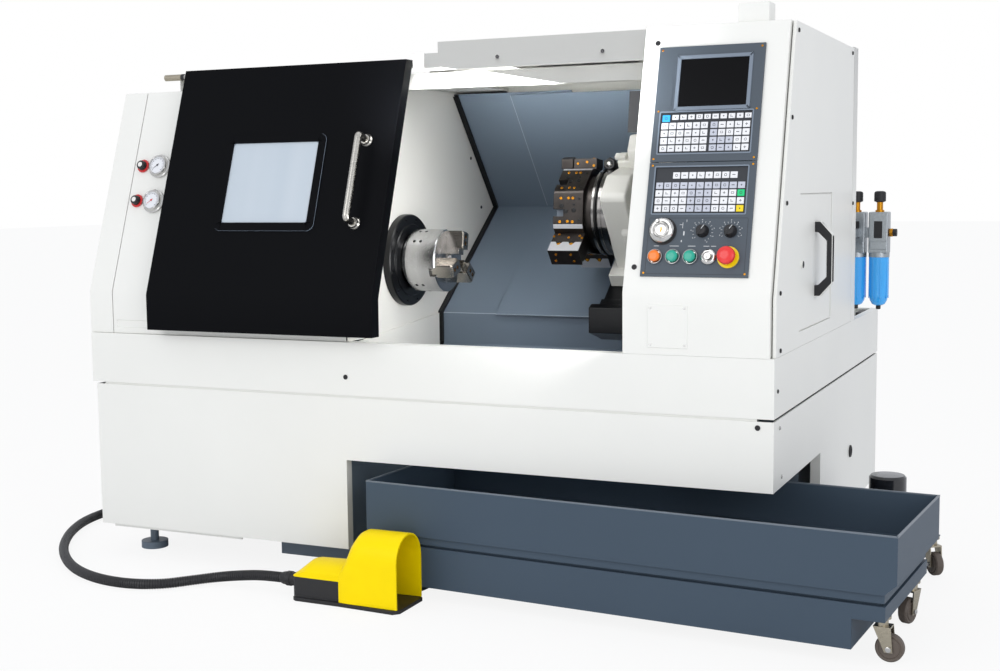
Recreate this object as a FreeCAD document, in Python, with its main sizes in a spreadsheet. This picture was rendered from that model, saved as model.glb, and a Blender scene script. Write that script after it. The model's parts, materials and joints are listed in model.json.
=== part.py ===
import FreeCAD, Part
import math
import os
import re

import Sketcher

# A slant-bed turning lathe with its sliding door open, its chip tray and coolant tank
# drawn out to the right on casters, and its clamping pedal on the floor in front.
# Frame: the origin is on the floor under the front left levelling foot, +X runs along
# the spindle from the headstock to the tool turret, +Y to the rear, +Z up.  Millimetres.

V = FreeCAD.Vector
doc = FreeCAD.newDocument("turning_lathe")
sheet = doc.addObject("Spreadsheet::Sheet", "dims")

DIMENSIONS = {
    # plan and levels of the base
    "left_end": -100, "right_end": 1840, "front_face": -120, "rear_face": 1310,
    "band_low": 497, "band_top": 635, "tier_left": -86, "tier_top": 491,
    "leg_right": 722, "leg_low": 90, "bay_top": 327, "side_leg": 416,
    "skin": 4, "flange_deep": 26, "deck_low": 600,
    "foot_r": 38, "foot_tall": 20, "stem_r": 12,
    "frame_front": -84, "toe_front": 6, "frame_left": 432, "frame_step": 430,
    "frame_rear": 1180, "frame_top": 489.5, "beam": 90,
    # enclosure
    "cover_front": -112, "cover_left": -106, "cover_seam": -26, "cover_fold": 751,
    "cover_top": 1310, "cover_slope": 0.34, "seat_gap": 0.3,
    "side_seam": 822, "hood_back": 885, "slot_low": 652, "slot_high": 672,
    "box_left": 1479, "box_right": 1829, "box_fold": 778, "box_top": 1407,
    "box_slope": 0.29, "box_back": 160, "side_gap": 3,
    "roof_step": 890, "roof_top": 1410, "lintel_low": 1287, "lintel_top": 1328,
    "lintel_front": 92, "ledge_top": 1378, "ledge_front": 84, "strip_front": 118,
    "rail_y": 101, "rail_z": 1351, "rail_r": 8, "rail_left": 20, "ledge_left": 862,
    # work area: headstock wall and the folded chip guard
    "wall_x": 728, "wall_thick": 4, "wall_front": -84,
    "bed_y": 419, "bed_z": 668, "fold_y": 820, "fold_z": 969, "guard_top_y": 532,
    "guard_top": 1302, "apron_low": 579, "chute_low": 345, "chute_back": 190,
    "leaf_edge": 1100, "chute_right": 1474,
    # spindle, flange and chuck
    "spindle_y": 210, "spindle_z": 831, "shaft_r": 60, "bore_gap": 0.1, "nose_r": 70,
    "flange_r": 126, "flange_bore": 74, "flange_thick": 22, "flange_lip_r": 100, "lip": 4,
    "chuck_back": 762, "chuck_face": 862, "chuck_r": 85, "slot_wide": 24, "slot_deep": 18,
    "jaw_wide": 36, "jaw_tall": 50, "jaw_in": 17, "jaw_out": 80, "jaw_angle": 80,
    "jaw_gap": 0.4,
    "head_left": 190, "head_right": 700, "head_wide": 170, "head_tall": 165,
    "pulley_r": 95, "pulley_left": 110, "pulley_wide": 60, "cylinder_r": 88,
    "cylinder_left": -20, "cylinder_long": 100, "belt_thick": 8,
    "motor_y": 250, "motor_z": 577, "motor_r": 80, "motor_left": 200, "motor_long": 330,
    "motor_pulley_r": 60,
    # saddle, cross slide and turret, in the slanted frame of the bed
    "bed_top": -110, "rail_tall": 35, "rail_wide": 34, "rail_low_u": 20, "rail_high_u": 400,
    "saddle_left": 1250, "saddle_right": 1560, "saddle_low": -74.7, "saddle_high": -25,
    "saddle_low_u": -12, "saddle_high_u": 484,
    "guide_left": 1300, "guide_right": 1500, "guide_top": 118, "guide_low_u": 10,
    "guide_high_u": 400, "leaf_left": 915, "leaf_right": 1690, "leaf_high": 8,
    "turret_u": 143, "turret_v": 256, "turret_face": 1112, "disc_thick": 100,
    "disc_flat": 114, "ring_r": 123, "ring_left": 1240, "ring_thick": 22,
    "housing_right": 1470, "housing_low": 118.3,
    "tool_stations": 8, "holder_wide": 62, "holder_tall": 46, "holder_long": 70,
    # door
    "door_left": 135, "door_right": 833, "door_front": -170, "door_low": 654,
    "door_fold": 750, "door_top": 1362, "door_slope": 0.345, "door_deep": 38,
    "window_left": 335, "window_right": 617, "window_low": 934, "window_high": 1160,
    "window_lip": 14, "handle_x": 752, "handle_low": 940, "handle_high": 1152,
    "handle_out": 46, "handle_r": 10, "rosette_r": 17,
    # operator panel, measured along its slope from the fold
    "plate_left": 1520, "plate_right": 1776, "plate_low": 40, "plate_seam": 315,
    "plate_high": 600, "plate_thick": 5, "screen_left": 1576, "screen_right": 1740,
    "screen_low": 450, "screen_high": 568, "key_left": 1540, "key_pitch": 19.6,
    "key_wide": 16.5, "key_tall": 15.5, "key_row": 18.5, "key_high_low": 341, "key_low_low": 195,
    "key_proud": 1.5, "button_row": 87, "dial_row": 148, "button_r": 14, "collar_r": 18,
    "stem_hole": 6.1, "stem_rod": 6, "press": 4, "wheel_x": 1567, "wheel_r": 29,
    "feed_x": 1662, "rapid_x": 1728, "dial_r": 15,
    "orange_x": 1553, "green_x": 1596, "second_green_x": 1638, "key_x": 1681, "stop_x": 1727,
    "stop_r": 21, "stop_ring": 26,
    # side access door and its bridge handle
    "hatch_front": 135, "hatch_rear": 527, "hatch_low": 672, "hatch_high": 1005,
    "hatch_gap": 2.5, "hatch_lip": 9, "grip_y": 331, "grip_low": 745, "grip_high": 935, "grip_out": 42,
    # gauges on the sloping left cover, measured up its slope from its fold
    "gauge_x": 64, "gauge_high": 365, "gauge_low": 262, "gauge_r": 31, "knob_dx": -58,
    "knob_r": 19,
    # compressed-air unit behind the side cover
    "air_x": 1888, "air_y": 1010, "air_low": 823, "air_high": 945, "air_pitch": 66,
    "air_half": 28, "bowl_low": 684, "bowl_r": 29,
    # chip tray and coolant tank on casters, in their own turned frame
    "tray_x": 2139, "tray_y": -274, "tray_turn": -4.07, "tray_long": 1330, "tray_wide": 444,
    "tray_top": 292, "tray_knee": 187, "tray_low": 161, "tray_tuck": 26, "tray_skin": 4,
    "tank_top": 139, "tank_low": 33, "tank_inset": 14, "tank_step": 97, "step_low": 101,
    "wing_left": 260, "wing_back": 862, "wing_top": 158, "pump_x": -157, "pump_y": 600,
    "pump_r": 46, "caster_r": 31, "caster_wide": 24, "caster_trail": 18, "fork_wide": 34,
    # clamping pedal and its conduit
    "pedal_left": 668, "pedal_front": -328, "pedal_wide": 145, "pedal_long": 284,
    "pedal_plate": 10, "hood_left": 105, "hood_tall": 186, "pedal_body": 74,
    "hood_skin": 5, "conduit_r": 13.5, "gland_z": 38, "gland_long": 62, "gland_y": 420,
}

for row, (alias, amount) in enumerate(DIMENSIONS.items(), start=1):
    sheet.set("A%d" % row, alias)
    sheet.set("B%d" % row, str(amount))
    sheet.setAlias("B%d" % row, alias)
doc.recompute()

sheet.set("A%d" % (len(DIMENSIONS) + 1), "bed_run")
sheet.set("B%d" % (len(DIMENSIONS) + 1), "=sqrt((fold_y - bed_y) ^ 2 + (fold_z - bed_z) ^ 2)")
sheet.setAlias("B%d" % (len(DIMENSIONS) + 1), "bed_run")
DIMENSIONS["bed_run"] = None
doc.recompute()

NODES = {}          # node name -> document object


def link(text):
    """Turns plain words in an expression into references to the sheet's cells."""
    return re.sub(r"[a-z_]+[a-z_0-9]*",
                  lambda m: "dims." + m.group(0) if m.group(0) in DIMENSIONS else m.group(0),
                  str(text))


def size(text):
    return float(sheet.evalExpression(link(text)))


def bind(thing, **sizes):
    for name, text in sizes.items():
        thing.setExpression(name.replace("__", "."), link(text))
    return thing


def node(name, thing, pose=None):
    """Gives a finished sub-part its name and its place."""
    thing.Label = name
    if pose is not None:
        thing.Placement = pose
    NODES[name] = thing
    return thing


# ---- outlines: lists of points, or circles, whose numbers are expressions ----

def rect(x_low, y_low, x_high, y_high):
    return [(x_low, y_low), (x_high, y_low), (x_high, y_high), (x_low, y_high)]


def circle(x, y, radius):
    return ("circle", x, y, radius)


def draw(sketch, outline):
    first = sketch.GeometryCount
    if outline[0] == "circle":
        x, y, radius = outline[1:]
        sketch.addGeometry(Part.Circle(V(size(x), size(y), 0), V(0, 0, 1), size(radius)), False)
        fixed = [("DistanceX", (-1, 1, first, 3), x), ("DistanceY", (-1, 1, first, 3), y),
                 ("Radius", (first,), radius)]
    else:
        corners = [V(size(x), size(y), 0) for x, y in outline]
        for start, end in zip(corners, corners[1:] + corners[:1]):
            sketch.addGeometry(Part.LineSegment(start, end), False)
        for i in range(len(outline)):
            after = first + (i + 1) % len(outline)
            sketch.addConstraint(Sketcher.Constraint("Coincident", first + i, 2, after, 1))
        fixed = []
        for i, (x, y) in enumerate(outline):
            fixed.append(("DistanceX", (-1, 1, first + i, 1), x))
            fixed.append(("DistanceY", (-1, 1, first + i, 1), y))
    for kind, where, text in fixed:
        index = sketch.addConstraint(Sketcher.Constraint(kind, *where, size(text)))
        sketch.setExpression("Constraints[%d]" % index, link(text))


# Sketch planes: XY looks along +Z, XZ along -Y and YZ along +X.
NORMAL_SIGN = {"XY": 1, "XZ": -1, "YZ": 1}


def sketch_on(body, plane, at, outlines):
    sketch = body.newObject("Sketcher::SketchObject", "outline")
    support = next(f for f in body.Origin.OriginFeatures if f.Role == plane + "_Plane")
    sketch.AttachmentSupport = (support, "")
    sketch.MapMode = "FlatFace"
    sign = "" if NORMAL_SIGN[plane] > 0 else "-"
    sketch.setExpression("AttachmentOffset.Base.z", "%s(%s)" % (sign, link(at)))
    for outline in outlines:
        draw(sketch, outline)
    return sketch


def new_body(name):
    body = doc.addObject("PartDesign::Body", name)
    body.Label = name
    return body


def pad(body, plane, low, high, *outlines):
    """Adds material between two levels along the plane's own axis."""
    sketch = sketch_on(body, plane, low, outlines)
    feature = body.newObject("PartDesign::Pad", "pad")
    feature.Profile = sketch
    feature.Reversed = NORMAL_SIGN[plane] < 0
    feature.setExpression("Length", link("(%s) - (%s)" % (high, low)))
    return feature


def pocket(body, plane, low, high, *outlines):
    """Takes material away between two levels; the volume has to drop."""
    doc.recompute()
    before = body.Shape.Volume
    sketch = sketch_on(body, plane, low, outlines)
    feature = body.newObject("PartDesign::Pocket", "pocket")
    feature.Profile = sketch
    feature.Reversed = NORMAL_SIGN[plane] > 0
    feature.setExpression("Length", link("(%s) - (%s)" % (high, low)))
    doc.recompute()
    if body.Shape.Volume > before - 1:
        raise SystemExit("a pocket in %s cuts nothing" % body.Label)
    return feature


def turn(body, plane, axis, *outlines):
    """Revolves an outline about the sketch's own H or V axis."""
    sketch = sketch_on(body, plane, "0", outlines)
    feature = body.newObject("PartDesign::Revolution", "turned")
    feature.Profile = sketch
    feature.ReferenceAxis = (sketch, [axis])
    feature.Angle = 360
    return feature


# ---- simple solids for groups and booleans ----

def box(x_low, y_low, z_low, x_high, y_high, z_high):
    thing = doc.addObject("Part::Box", "block")
    bind(thing, Length="(%s) - (%s)" % (x_high, x_low), Width="(%s) - (%s)" % (y_high, y_low),
         Height="(%s) - (%s)" % (z_high, z_low), Placement__Base__x=x_low,
         Placement__Base__y=y_low, Placement__Base__z=z_low)
    return thing


ROD_TURNS = {"X": FreeCAD.Rotation(V(0, 1, 0), 90), "Y": FreeCAD.Rotation(V(1, 0, 0), -90),
             "Z": FreeCAD.Rotation()}


def rod(axis, x, y, z, radius, length, tip=None):
    """A cylinder, or a cone when tip gives its far radius, from a point along an axis."""
    kind = "Part::Cylinder" if tip is None else "Part::Cone"
    thing = doc.addObject(kind, "rod")
    thing.Placement = FreeCAD.Placement(V(0, 0, 0), ROD_TURNS[axis])
    bind(thing, Height=length, Placement__Base__x=x, Placement__Base__y=y, Placement__Base__z=z)
    if tip is None:
        return bind(thing, Radius=radius)
    return bind(thing, Radius1=radius, Radius2=tip)


def joined(*things):
    whole = doc.addObject("Part::MultiFuse", "joined")
    whole.Shapes = list(things)
    whole.Refine = True
    return whole


def group(*things):
    whole = doc.addObject("Part::Compound", "group")
    whole.Links = list(things)
    return whole


def cut(base, *tools):
    part = doc.addObject("Part::Cut", "cut")
    part.Base = base
    part.Tool = tools[0] if len(tools) == 1 else joined(*tools)
    part.Refine = True
    return part


# ---- frames of the sloping and turned assemblies ----

def tilted(y, z, lean):
    """Frame on a front that leans back: x along +X, y up the slope, z out of the face."""
    return FreeCAD.Placement(V(0, y, z), FreeCAD.Rotation(V(1, 0, 0), 90 - lean))


def lean_of(slope):
    return math.degrees(math.atan(size(slope)))


PANEL = tilted(size("front_face"), size("box_fold"), lean_of("box_slope"))
COVER = tilted(size("cover_front"), size("cover_fold"), lean_of("cover_slope"))
DOOR = tilted(size("door_front"), size("door_fold"), lean_of("door_slope"))
BED_ANGLE = math.degrees(math.atan2(size("fold_z - bed_z"), size("fold_y - bed_y")))
BED = FreeCAD.Placement(V(0, size("bed_y"), size("bed_z")),
                        FreeCAD.Rotation(V(1, 0, 0), BED_ANGLE))
TANK = FreeCAD.Placement(V(size("tray_x"), size("tray_y"), 0),
                         FreeCAD.Rotation(V(0, 0, 1), size("tray_turn")))
SPINDLE = FreeCAD.Placement(V(0, size("spindle_y"), size("spindle_z")), FreeCAD.Rotation())
TURRET = BED.multiply(FreeCAD.Placement(V(0, size("turret_u"), size("turret_v")),
                                        FreeCAD.Rotation()))


# ============================ base ============================

def base_cabinet():
    """Lower casing in folded sheet: front, sides and rear, with the bay for the tank."""
    body = new_body("base_cabinet")
    pad(body, "XY", "leg_low", "tier_top", rect("tier_left", "front_face", "right_end", "rear_face - 4"))
    pocket(body, "XY", "leg_low - 1", "tier_top + 1",
           rect("tier_left + skin", "front_face + skin", "right_end - skin", "rear_face - 4 - skin"))
    pocket(body, "XZ", "front_face - 1", "front_face + skin + 1",
           rect("leg_right", "leg_low - 1", "right_end - skin", "bay_top"))
    pocket(body, "YZ", "right_end - skin - 1", "right_end + 1",
           rect("front_face - 1", "leg_low - 1", "side_leg", "bay_top"))
    # folded returns round the bay
    pad(body, "XY", "leg_low", "bay_top",
        rect("leg_right - skin", "front_face", "leg_right", "front_face + flange_deep"))
    pad(body, "XY", "bay_top", "bay_top + skin",
        rect("leg_right - skin", "front_face", "right_end", "front_face + flange_deep"))
    pad(body, "XY", "leg_low", "bay_top + skin",
        rect("right_end - flange_deep", "side_leg", "right_end", "side_leg + skin"))
    # strip under the left leg
    pad(body, "XY", "leg_low - 9", "leg_low",
        rect("tier_left + 34", "front_face + 12", "leg_right - 342", "front_face + 12 + skin"))
    pad(body, "XY", "leg_low", "leg_low + skin",
        rect("tier_left + 34", "front_face", "leg_right - 342", "front_face + 30"))
    # gland of the pedal's conduit
    pad(body, "YZ", "tier_left - 14", "tier_left + 1", circle("gland_y", "120", "conduit_r + 5"))
    # cable grommet hole in the rear leg
    pocket(body, "YZ", "right_end - skin - 1", "right_end + 1", circle("side_leg + 430", "255", "14"))
    node("base_cabinet", body)


def base_frame():
    """Welded box frame that carries the bed, set back behind the casing."""
    body = new_body("base_frame")
    pad(body, "XY", "leg_low", "frame_top",
        rect("tier_left + 60", "frame_front", "leg_right - 6", "frame_rear"))
    pad(body, "XY", "leg_low", "frame_top",
        rect("leg_right - 7", "frame_step", "right_end - 60", "frame_rear"))
    # plinth, set back at the toe
    pad(body, "XY", "foot_tall", "leg_low",
        rect("frame_left", "toe_front", "leg_right - 6", "frame_rear"))
    pad(body, "XY", "foot_tall", "leg_low",
        rect("leg_right - 7", "frame_step", "right_end - 60", "frame_rear"))
    # hollow between the beams, open at the bottom and the top
    pocket(body, "XY", "foot_tall - 1", "frame_top - 12",
           rect("frame_left + beam", "toe_front + beam", "leg_right - 60", "frame_rear - beam"),
           rect("leg_right + 30", "frame_step + beam", "right_end - 60 - beam", "frame_rear - beam"))
    pocket(body, "XY", "leg_low - 1", "frame_top - 12",
           rect("tier_left + 60 + beam", "frame_front + beam", "frame_left - 10", "frame_rear - beam"))
    # brackets that carry the casing
    for x in ("40", "520"):
        pad(body, "XY", "bay_top + 60", "bay_top + 110",
            rect(x, "front_face + skin + 0.3", x + " + 50", "frame_front + 1"))
    node("base_frame", body)


FEET = [("0", "0"), ("0", "frame_rear - 60"), ("right_end - 120", "frame_step + 60"),
        ("right_end - 120", "frame_rear - 60"), ("leg_right - 60", "toe_front + 50"),
        ("leg_right - 60", "frame_rear - 60")]


def levelling_feet():
    """Six round pads on screws; the two at the left stand under the raised end."""
    feet = []
    for x, y in FEET:
        under_frame = size(x) > size("frame_left")
        top = "foot_tall" if under_frame else "leg_low"
        pad_top = "foot_tall - 6" if under_frame else "foot_tall"
        feet.append(joined(rod("Z", x, y, "0", "foot_r", pad_top),
                           rod("Z", x, y, "0", "stem_r", top)))
    node("levelling_feet", group(*feet))


def coolant_band():
    """Upper casing band under the enclosure, with the rear deck inside its rim."""
    body = new_body("coolant_band")
    pad(body, "XY", "band_low", "band_top", rect("left_end", "front_face", "right_end", "rear_face"))
    pocket(body, "XY", "band_low - 1", "band_top - skin",
           rect("left_end + skin", "front_face + skin", "right_end - skin", "rear_face - skin"))
    # opening over the chute, the headstock and the bed
    pocket(body, "XY", "band_top - skin - 1", "band_top + 1",
           rect("left_end + 60", "wall_front - 1", "chute_right + 1", "hood_back - 30"))
    pocket(body, "XY", "band_top - skin - 1", "band_top + 1",
           rect("chute_right", "box_back + 10", "right_end - 60", "hood_back - 30"))
    # sunken deck behind the enclosure
    pocket(body, "XY", "band_top - skin - 1", "band_top + 1",
           rect("left_end + 20", "hood_back + 20", "right_end - 20", "rear_face - 20"))
    pad(body, "XY", "deck_low", "deck_low + skin",
        rect("left_end + 2", "hood_back + 16", "right_end - 2", "rear_face - 2"))
    pad(body, "XY", "deck_low", "band_top",
        rect("left_end + 2", "hood_back + 16", "right_end - 2", "hood_back + 20"))
    # folded lip under the band, over the lower casing
    pad(body, "XY", "tier_top - 8", "band_low + 1",
        rect("left_end + 40", "front_face + skin + 0.3", "right_end - 40", "front_face + 2 * skin + 0.3"))
    pad(body, "XY", "band_low", "band_low + skin",
        rect("left_end + 40", "front_face", "right_end - 40", "front_face + 30"))
    node("coolant_band", body)


# ============================ enclosure ============================

def sloped_front(front, fold, slope, top, back, low):
    """Side outline of a casing: upright lip, leaning face, level top, upright back."""
    top_front = "%s + %s * (%s - %s)" % (front, slope, top, fold)
    return [(front, low), (front, fold), (top_front, top), (back, top), (back, low)]


def inner_front(front, fold, slope, top, back, low, skin):
    """The same outline drawn in by the sheet's thickness and open at the foot and back."""
    return sloped_front("%s + %s" % (front, skin), fold, slope, "%s - %s" % (top, skin),
                        "%s + 1" % back, "%s - 1" % low)


def left_end_cover():
    """Closed end cover at the far left."""
    body = new_body("left_end_cover")
    low = "band_top + seat_gap"
    shape = ("cover_front", "cover_fold", "cover_slope", "cover_top")
    pad(body, "YZ", "cover_left", "cover_seam - 2", sloped_front(*shape, "side_seam", low))
    pocket(body, "YZ", "cover_left + skin", "cover_seam + 1",
           inner_front(*shape, "side_seam - 2 * skin", low, "skin"))
    node("left_end_cover", body)


def gauge_cover():
    """Fixed sloping cover in front of the headstock, with the recess under its foot."""
    body = new_body("gauge_cover")
    low = "band_top + seat_gap"
    shape = ("cover_front", "cover_fold", "cover_slope", "cover_top")
    pad(body, "YZ", "cover_seam", "wall_x - wall_thick - 1", sloped_front(*shape, "side_seam", low))
    pocket(body, "YZ", "cover_seam - 1", "wall_x",
           inner_front(*shape, "side_seam", low, "skin"))
    pocket(body, "XZ", "cover_front - 1", "cover_front + 3",
           rect("cover_seam + 12", "slot_low", "door_left + 20", "slot_high"))
    node("gauge_cover", body)


def roof_cover():
    """Roof, rear wall, lintel over the opening and the round rail that carries the door."""
    body = new_body("roof_cover")
    low = "band_top + seat_gap"
    roof = [("strip_front", "cover_top + 2"), ("hood_back", "cover_top + 2"), ("hood_back", low),
            ("hood_back - skin", low), ("hood_back - skin", "cover_top - 2"),
            ("side_seam + 3", "cover_top - 2"), ("side_seam + 3", "cover_top"),
            ("strip_front", "cover_top")]
    pad(body, "YZ", "cover_left", "roof_step", roof)
    raised = [("strip_front", "ledge_top - 2"), ("strip_front", "roof_top"), ("hood_back", "roof_top"),
              ("hood_back", low), ("hood_back - skin", low), ("hood_back - skin", "roof_top - skin"),
              ("strip_front + skin", "roof_top - skin"), ("strip_front + skin", "ledge_top - 2")]
    pad(body, "YZ", "roof_step - skin", "box_left", raised)
    # end wall of the raised roof
    pad(body, "YZ", "roof_step - skin", "roof_step",
        rect("strip_front", "cover_top", "hood_back", "roof_top"))
    # baffle behind the top of the chip guard
    pad(body, "YZ", "roof_step - skin", "box_left",
        rect("guard_top_y + 36", "guard_top - 12", "guard_top_y + 40", "roof_top - 1"))
    # raised roof on over the control side
    pad(body, "YZ", "box_left - 1", "box_right + 1",
        [("box_back + 2", "roof_top - skin"), ("box_back + 2", "roof_top"), ("hood_back", "roof_top"),
         ("hood_back", low), ("hood_back - skin", low), ("hood_back - skin", "roof_top - skin")])
    pad(body, "YZ", "box_right", "right_end",
        rect("side_seam + 2", low, "hood_back", "roof_top"))
    # ledge over the door track and the lintel below it
    pad(body, "YZ", "ledge_left", "box_left - 1",
        [("ledge_front", "lintel_top + 5"), ("ledge_front", "ledge_top"), ("strip_front + skin", "ledge_top"),
         ("strip_front + skin", "ledge_top - skin"), ("ledge_front + skin", "ledge_top - skin"),
         ("ledge_front + skin", "lintel_top + 5")])
    pad(body, "YZ", "wall_x", "box_left - 1",
        [("lintel_front", "lintel_low"), ("lintel_front", "lintel_top"), ("strip_front + skin", "lintel_top"),
         ("strip_front + skin", "lintel_low"), ("strip_front", "lintel_low"),
         ("strip_front", "lintel_top - skin"), ("lintel_front + skin", "lintel_top - skin"),
         ("lintel_front + skin", "lintel_low")])
    pad(body, "YZ", "ledge_left", "box_left - 1",
        rect("strip_front", "lintel_top - 1", "strip_front + skin", "ledge_top"))
    # door rail, carried from behind on angle brackets
    pad(body, "YZ", "rail_left", "box_left - 2", circle("rail_y", "rail_z", "rail_r"))
    for x in ("rail_left + 20", "rail_left + 400", "ledge_left + 4"):
        pad(body, "YZ", x, x + " + 24",
            [("rail_y + 4", "rail_z - 4"), ("rail_y + 4", "rail_z + 4"), ("rail_y + 46", "rail_z + 4"),
             ("rail_y + 46", "cover_top + 1"), ("rail_y + 40", "cover_top + 1"), ("rail_y + 40", "rail_z - 4")])
    for x in ("ledge_left + 280", "box_left - 40"):
        pad(body, "YZ", x, x + " + 24",
            rect("rail_y + 4", "rail_z - 4", "strip_front + 1", "rail_z + 4"))
    node("roof_cover", body)


def operator_box():
    """Upright control box at the right, leaning back above its fold."""
    body = new_body("operator_box")
    low = "band_top + seat_gap"
    shape = ("front_face", "box_fold", "box_slope", "box_top")
    pad(body, "YZ", "box_left", "box_right", sloped_front(*shape, "box_back", low))
    pocket(body, "YZ", "box_left + skin", "box_right - skin", inner_front(*shape, "box_back", low, "skin"))
    # cut-out in the sloping face behind the two control plates
    pocket(body, "XZ", "front_face - 1", "box_back",
           rect("plate_left + 12", "box_fold + 52", "plate_right - 12", "box_fold + 560"))
    # service plate under the fold
    pad(body, "XZ", "front_face - 2", "front_face + 1", rect("1541", "652", "1637", "752"))
    # terminal box on the roof
    pad(body, "XY", "box_top - 1", "box_top + 46", rect("1702", "72", "1776", "132"))
    # work lamp inside the opening, on the box's left wall
    pad(body, "YZ", "box_left - 62", "box_left + 1",
        [("100", "1160"), ("116", "1262"), ("155", "1262"), ("140", "1160")])
    node("operator_box", body)


def right_side_cover():
    """Flat side cover with the opening of the access door."""
    body = new_body("right_side_cover")
    low = "band_top + seat_gap"
    front = "front_face + 14"
    outline = [(front, low), (front, "box_fold - 10"),
               ("front_face + 14 + box_slope * (roof_top - 4 - box_fold)", "roof_top - 4"),
               ("side_seam", "roof_top - 4"), ("side_seam", low)]
    pad(body, "YZ", "box_right + side_gap", "right_end", outline)
    pocket(body, "YZ", "box_right", "right_end + 1",
           rect("hatch_front + hatch_lip", "hatch_low + hatch_lip", "hatch_rear - hatch_lip",
                "hatch_high - hatch_lip"))
    pocket(body, "YZ", "right_end - skin - 2.3", "right_end + 1",
           rect("hatch_front", "hatch_low", "hatch_rear", "hatch_high"))
    node("right_side_cover", body)


# ============================ work area ============================

def headstock_wall():
    """White wall between the headstock and the work area, cut to the chip guard."""
    body = new_body("headstock_wall")
    low = "band_top + seat_gap"
    top = "cover_top - 4"
    outline = [("cover_front + 6", low), ("cover_front + 6", "cover_fold"),
               ("cover_front + 6 + cover_slope * (cover_top - 4 - cover_fold)", top),
               ("guard_top_y + 14", top), ("fold_y - 3", "fold_z"), ("bed_y - 3", "bed_z - 2"),
               ("bed_y - 3", low)]
    pad(body, "YZ", "wall_x - wall_thick", "wall_x", outline)
    pocket(body, "YZ", "wall_x - wall_thick - 1", "wall_x + 1",
           circle("spindle_y", "spindle_z", "flange_lip_r - 4"))
    node("headstock_wall", body)


def chip_guard():
    """Fixed leaf of the folded guard, its apron and the chute down to the chip tray."""
    body = new_body("chip_guard")
    chute = [("wall_front", "band_top - 5"), ("wall_front", "chute_low"), ("chute_back", "chute_low"),
             ("bed_y", "apron_low"), ("bed_y", "bed_z")]
    pad(body, "YZ", "wall_x + 1", "chute_right", chute)
    inside = [("wall_front + skin", "bed_z + 40"), ("wall_front + skin", "chute_low - 1"),
              ("chute_back - skin", "chute_low - 1"), ("bed_y - skin", "apron_low + 1"),
              ("bed_y - skin", "bed_z + 40")]
    pocket(body, "YZ", "wall_x + 1 + skin", "chute_right - skin", inside)
    # lip hooked under the band's top sheet
    pad(body, "XY", "band_top - skin - 4.3", "band_top - skin - 0.3",
        rect("wall_x + 30", "wall_front - 14", "chute_right - 30", "wall_front + skin"))
    # end wall cut down under the covers of the cross guide
    pocket(body, "YZ", "chute_right - skin - 1", "chute_right + 1",
           rect("chute_back - 20", "apron_low - 20", "bed_y + 1", "bed_z + 1"))
    leaf = [("bed_y - skin", "bed_z - 8"), ("bed_y - skin", "bed_z"), ("fold_y - 6", "fold_z"),
            ("guard_top_y", "guard_top"), ("guard_top_y + 6", "guard_top"), ("fold_y", "fold_z"),
            ("bed_y", "bed_z - 4"), ("bed_y", "bed_z - 8")]
    pad(body, "YZ", "wall_x + 1", "leaf_edge", leaf)
    # black seal strip standing along the joint with the white wall
    seal = [("bed_y - skin - 7", "apron_low + 6"), ("bed_y - skin - 7", "bed_z + 4"),
            ("fold_y - 16", "fold_z"), ("guard_top_y - 7", "guard_top - 6"),
            ("guard_top_y + 1", "guard_top - 6"), ("fold_y - 5", "fold_z"),
            ("bed_y - skin + 1", "bed_z"), ("bed_y - skin + 1", "apron_low + 6")]
    pad(body, "YZ", "wall_x + 1", "wall_x + 15", seal)
    node("chip_guard", body)


def slanted(u, v):
    """Point of the side view given along the bed's slope (u) and square to it (v)."""
    y = "bed_y + ((%s) * (fold_y - bed_y) - (%s) * (fold_z - bed_z)) / bed_run" % (u, v)
    z = "bed_z + ((%s) * (fold_z - bed_z) + (%s) * (fold_y - bed_y)) / bed_run" % (u, v)
    return (y, z)


def slant_bed():
    """Cast bed with its leaning upper side and two square guide rails for the saddle."""
    body = new_body("slant_bed")
    side = [("bed_y + 62", "frame_top + 0.3"), slanted("0", "bed_top"), slanted("rail_high_u + 36", "bed_top"),
            ("bed_y + 428", "bed_z + 100"), ("bed_y + 428", "frame_top + 0.3")]
    pad(body, "YZ", "head_left", "right_end - 90", side)
    for u in ("rail_low_u", "rail_high_u"):
        pad(body, "YZ", "leaf_left - 150", "right_end - 100",
            [slanted(u, "bed_top - 1"), slanted(u, "bed_top + rail_tall"),
             slanted(u + " + rail_wide", "bed_top + rail_tall"), slanted(u + " + rail_wide", "bed_top - 1")])
    node("slant_bed", body)


def headstock():
    """Cast headstock with the spindle's through bore, seated on the leaning side of the bed."""
    body = new_body("headstock")
    side = [("spindle_y - head_wide", "spindle_z - head_tall"), ("spindle_y - head_wide", "spindle_z + head_tall"),
            ("spindle_y + head_wide", "spindle_z + head_tall"), slanted("rail_high_u + 36", "bed_top + 0.3"),
            slanted("2", "bed_top + 0.3"), ("spindle_y + head_wide - 40", "spindle_z - head_tall")]
    pad(body, "YZ", "head_left", "head_right", side)
    pad(body, "YZ", "head_right - 1", "wall_x - wall_thick - 0.3",
        circle("spindle_y", "spindle_z", "flange_r - 14"))
    pocket(body, "YZ", "head_left - 1", "wall_x", circle("spindle_y", "spindle_z", "shaft_r + bore_gap"))
    node("headstock", body)


# ============================ spindle ============================

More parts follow.
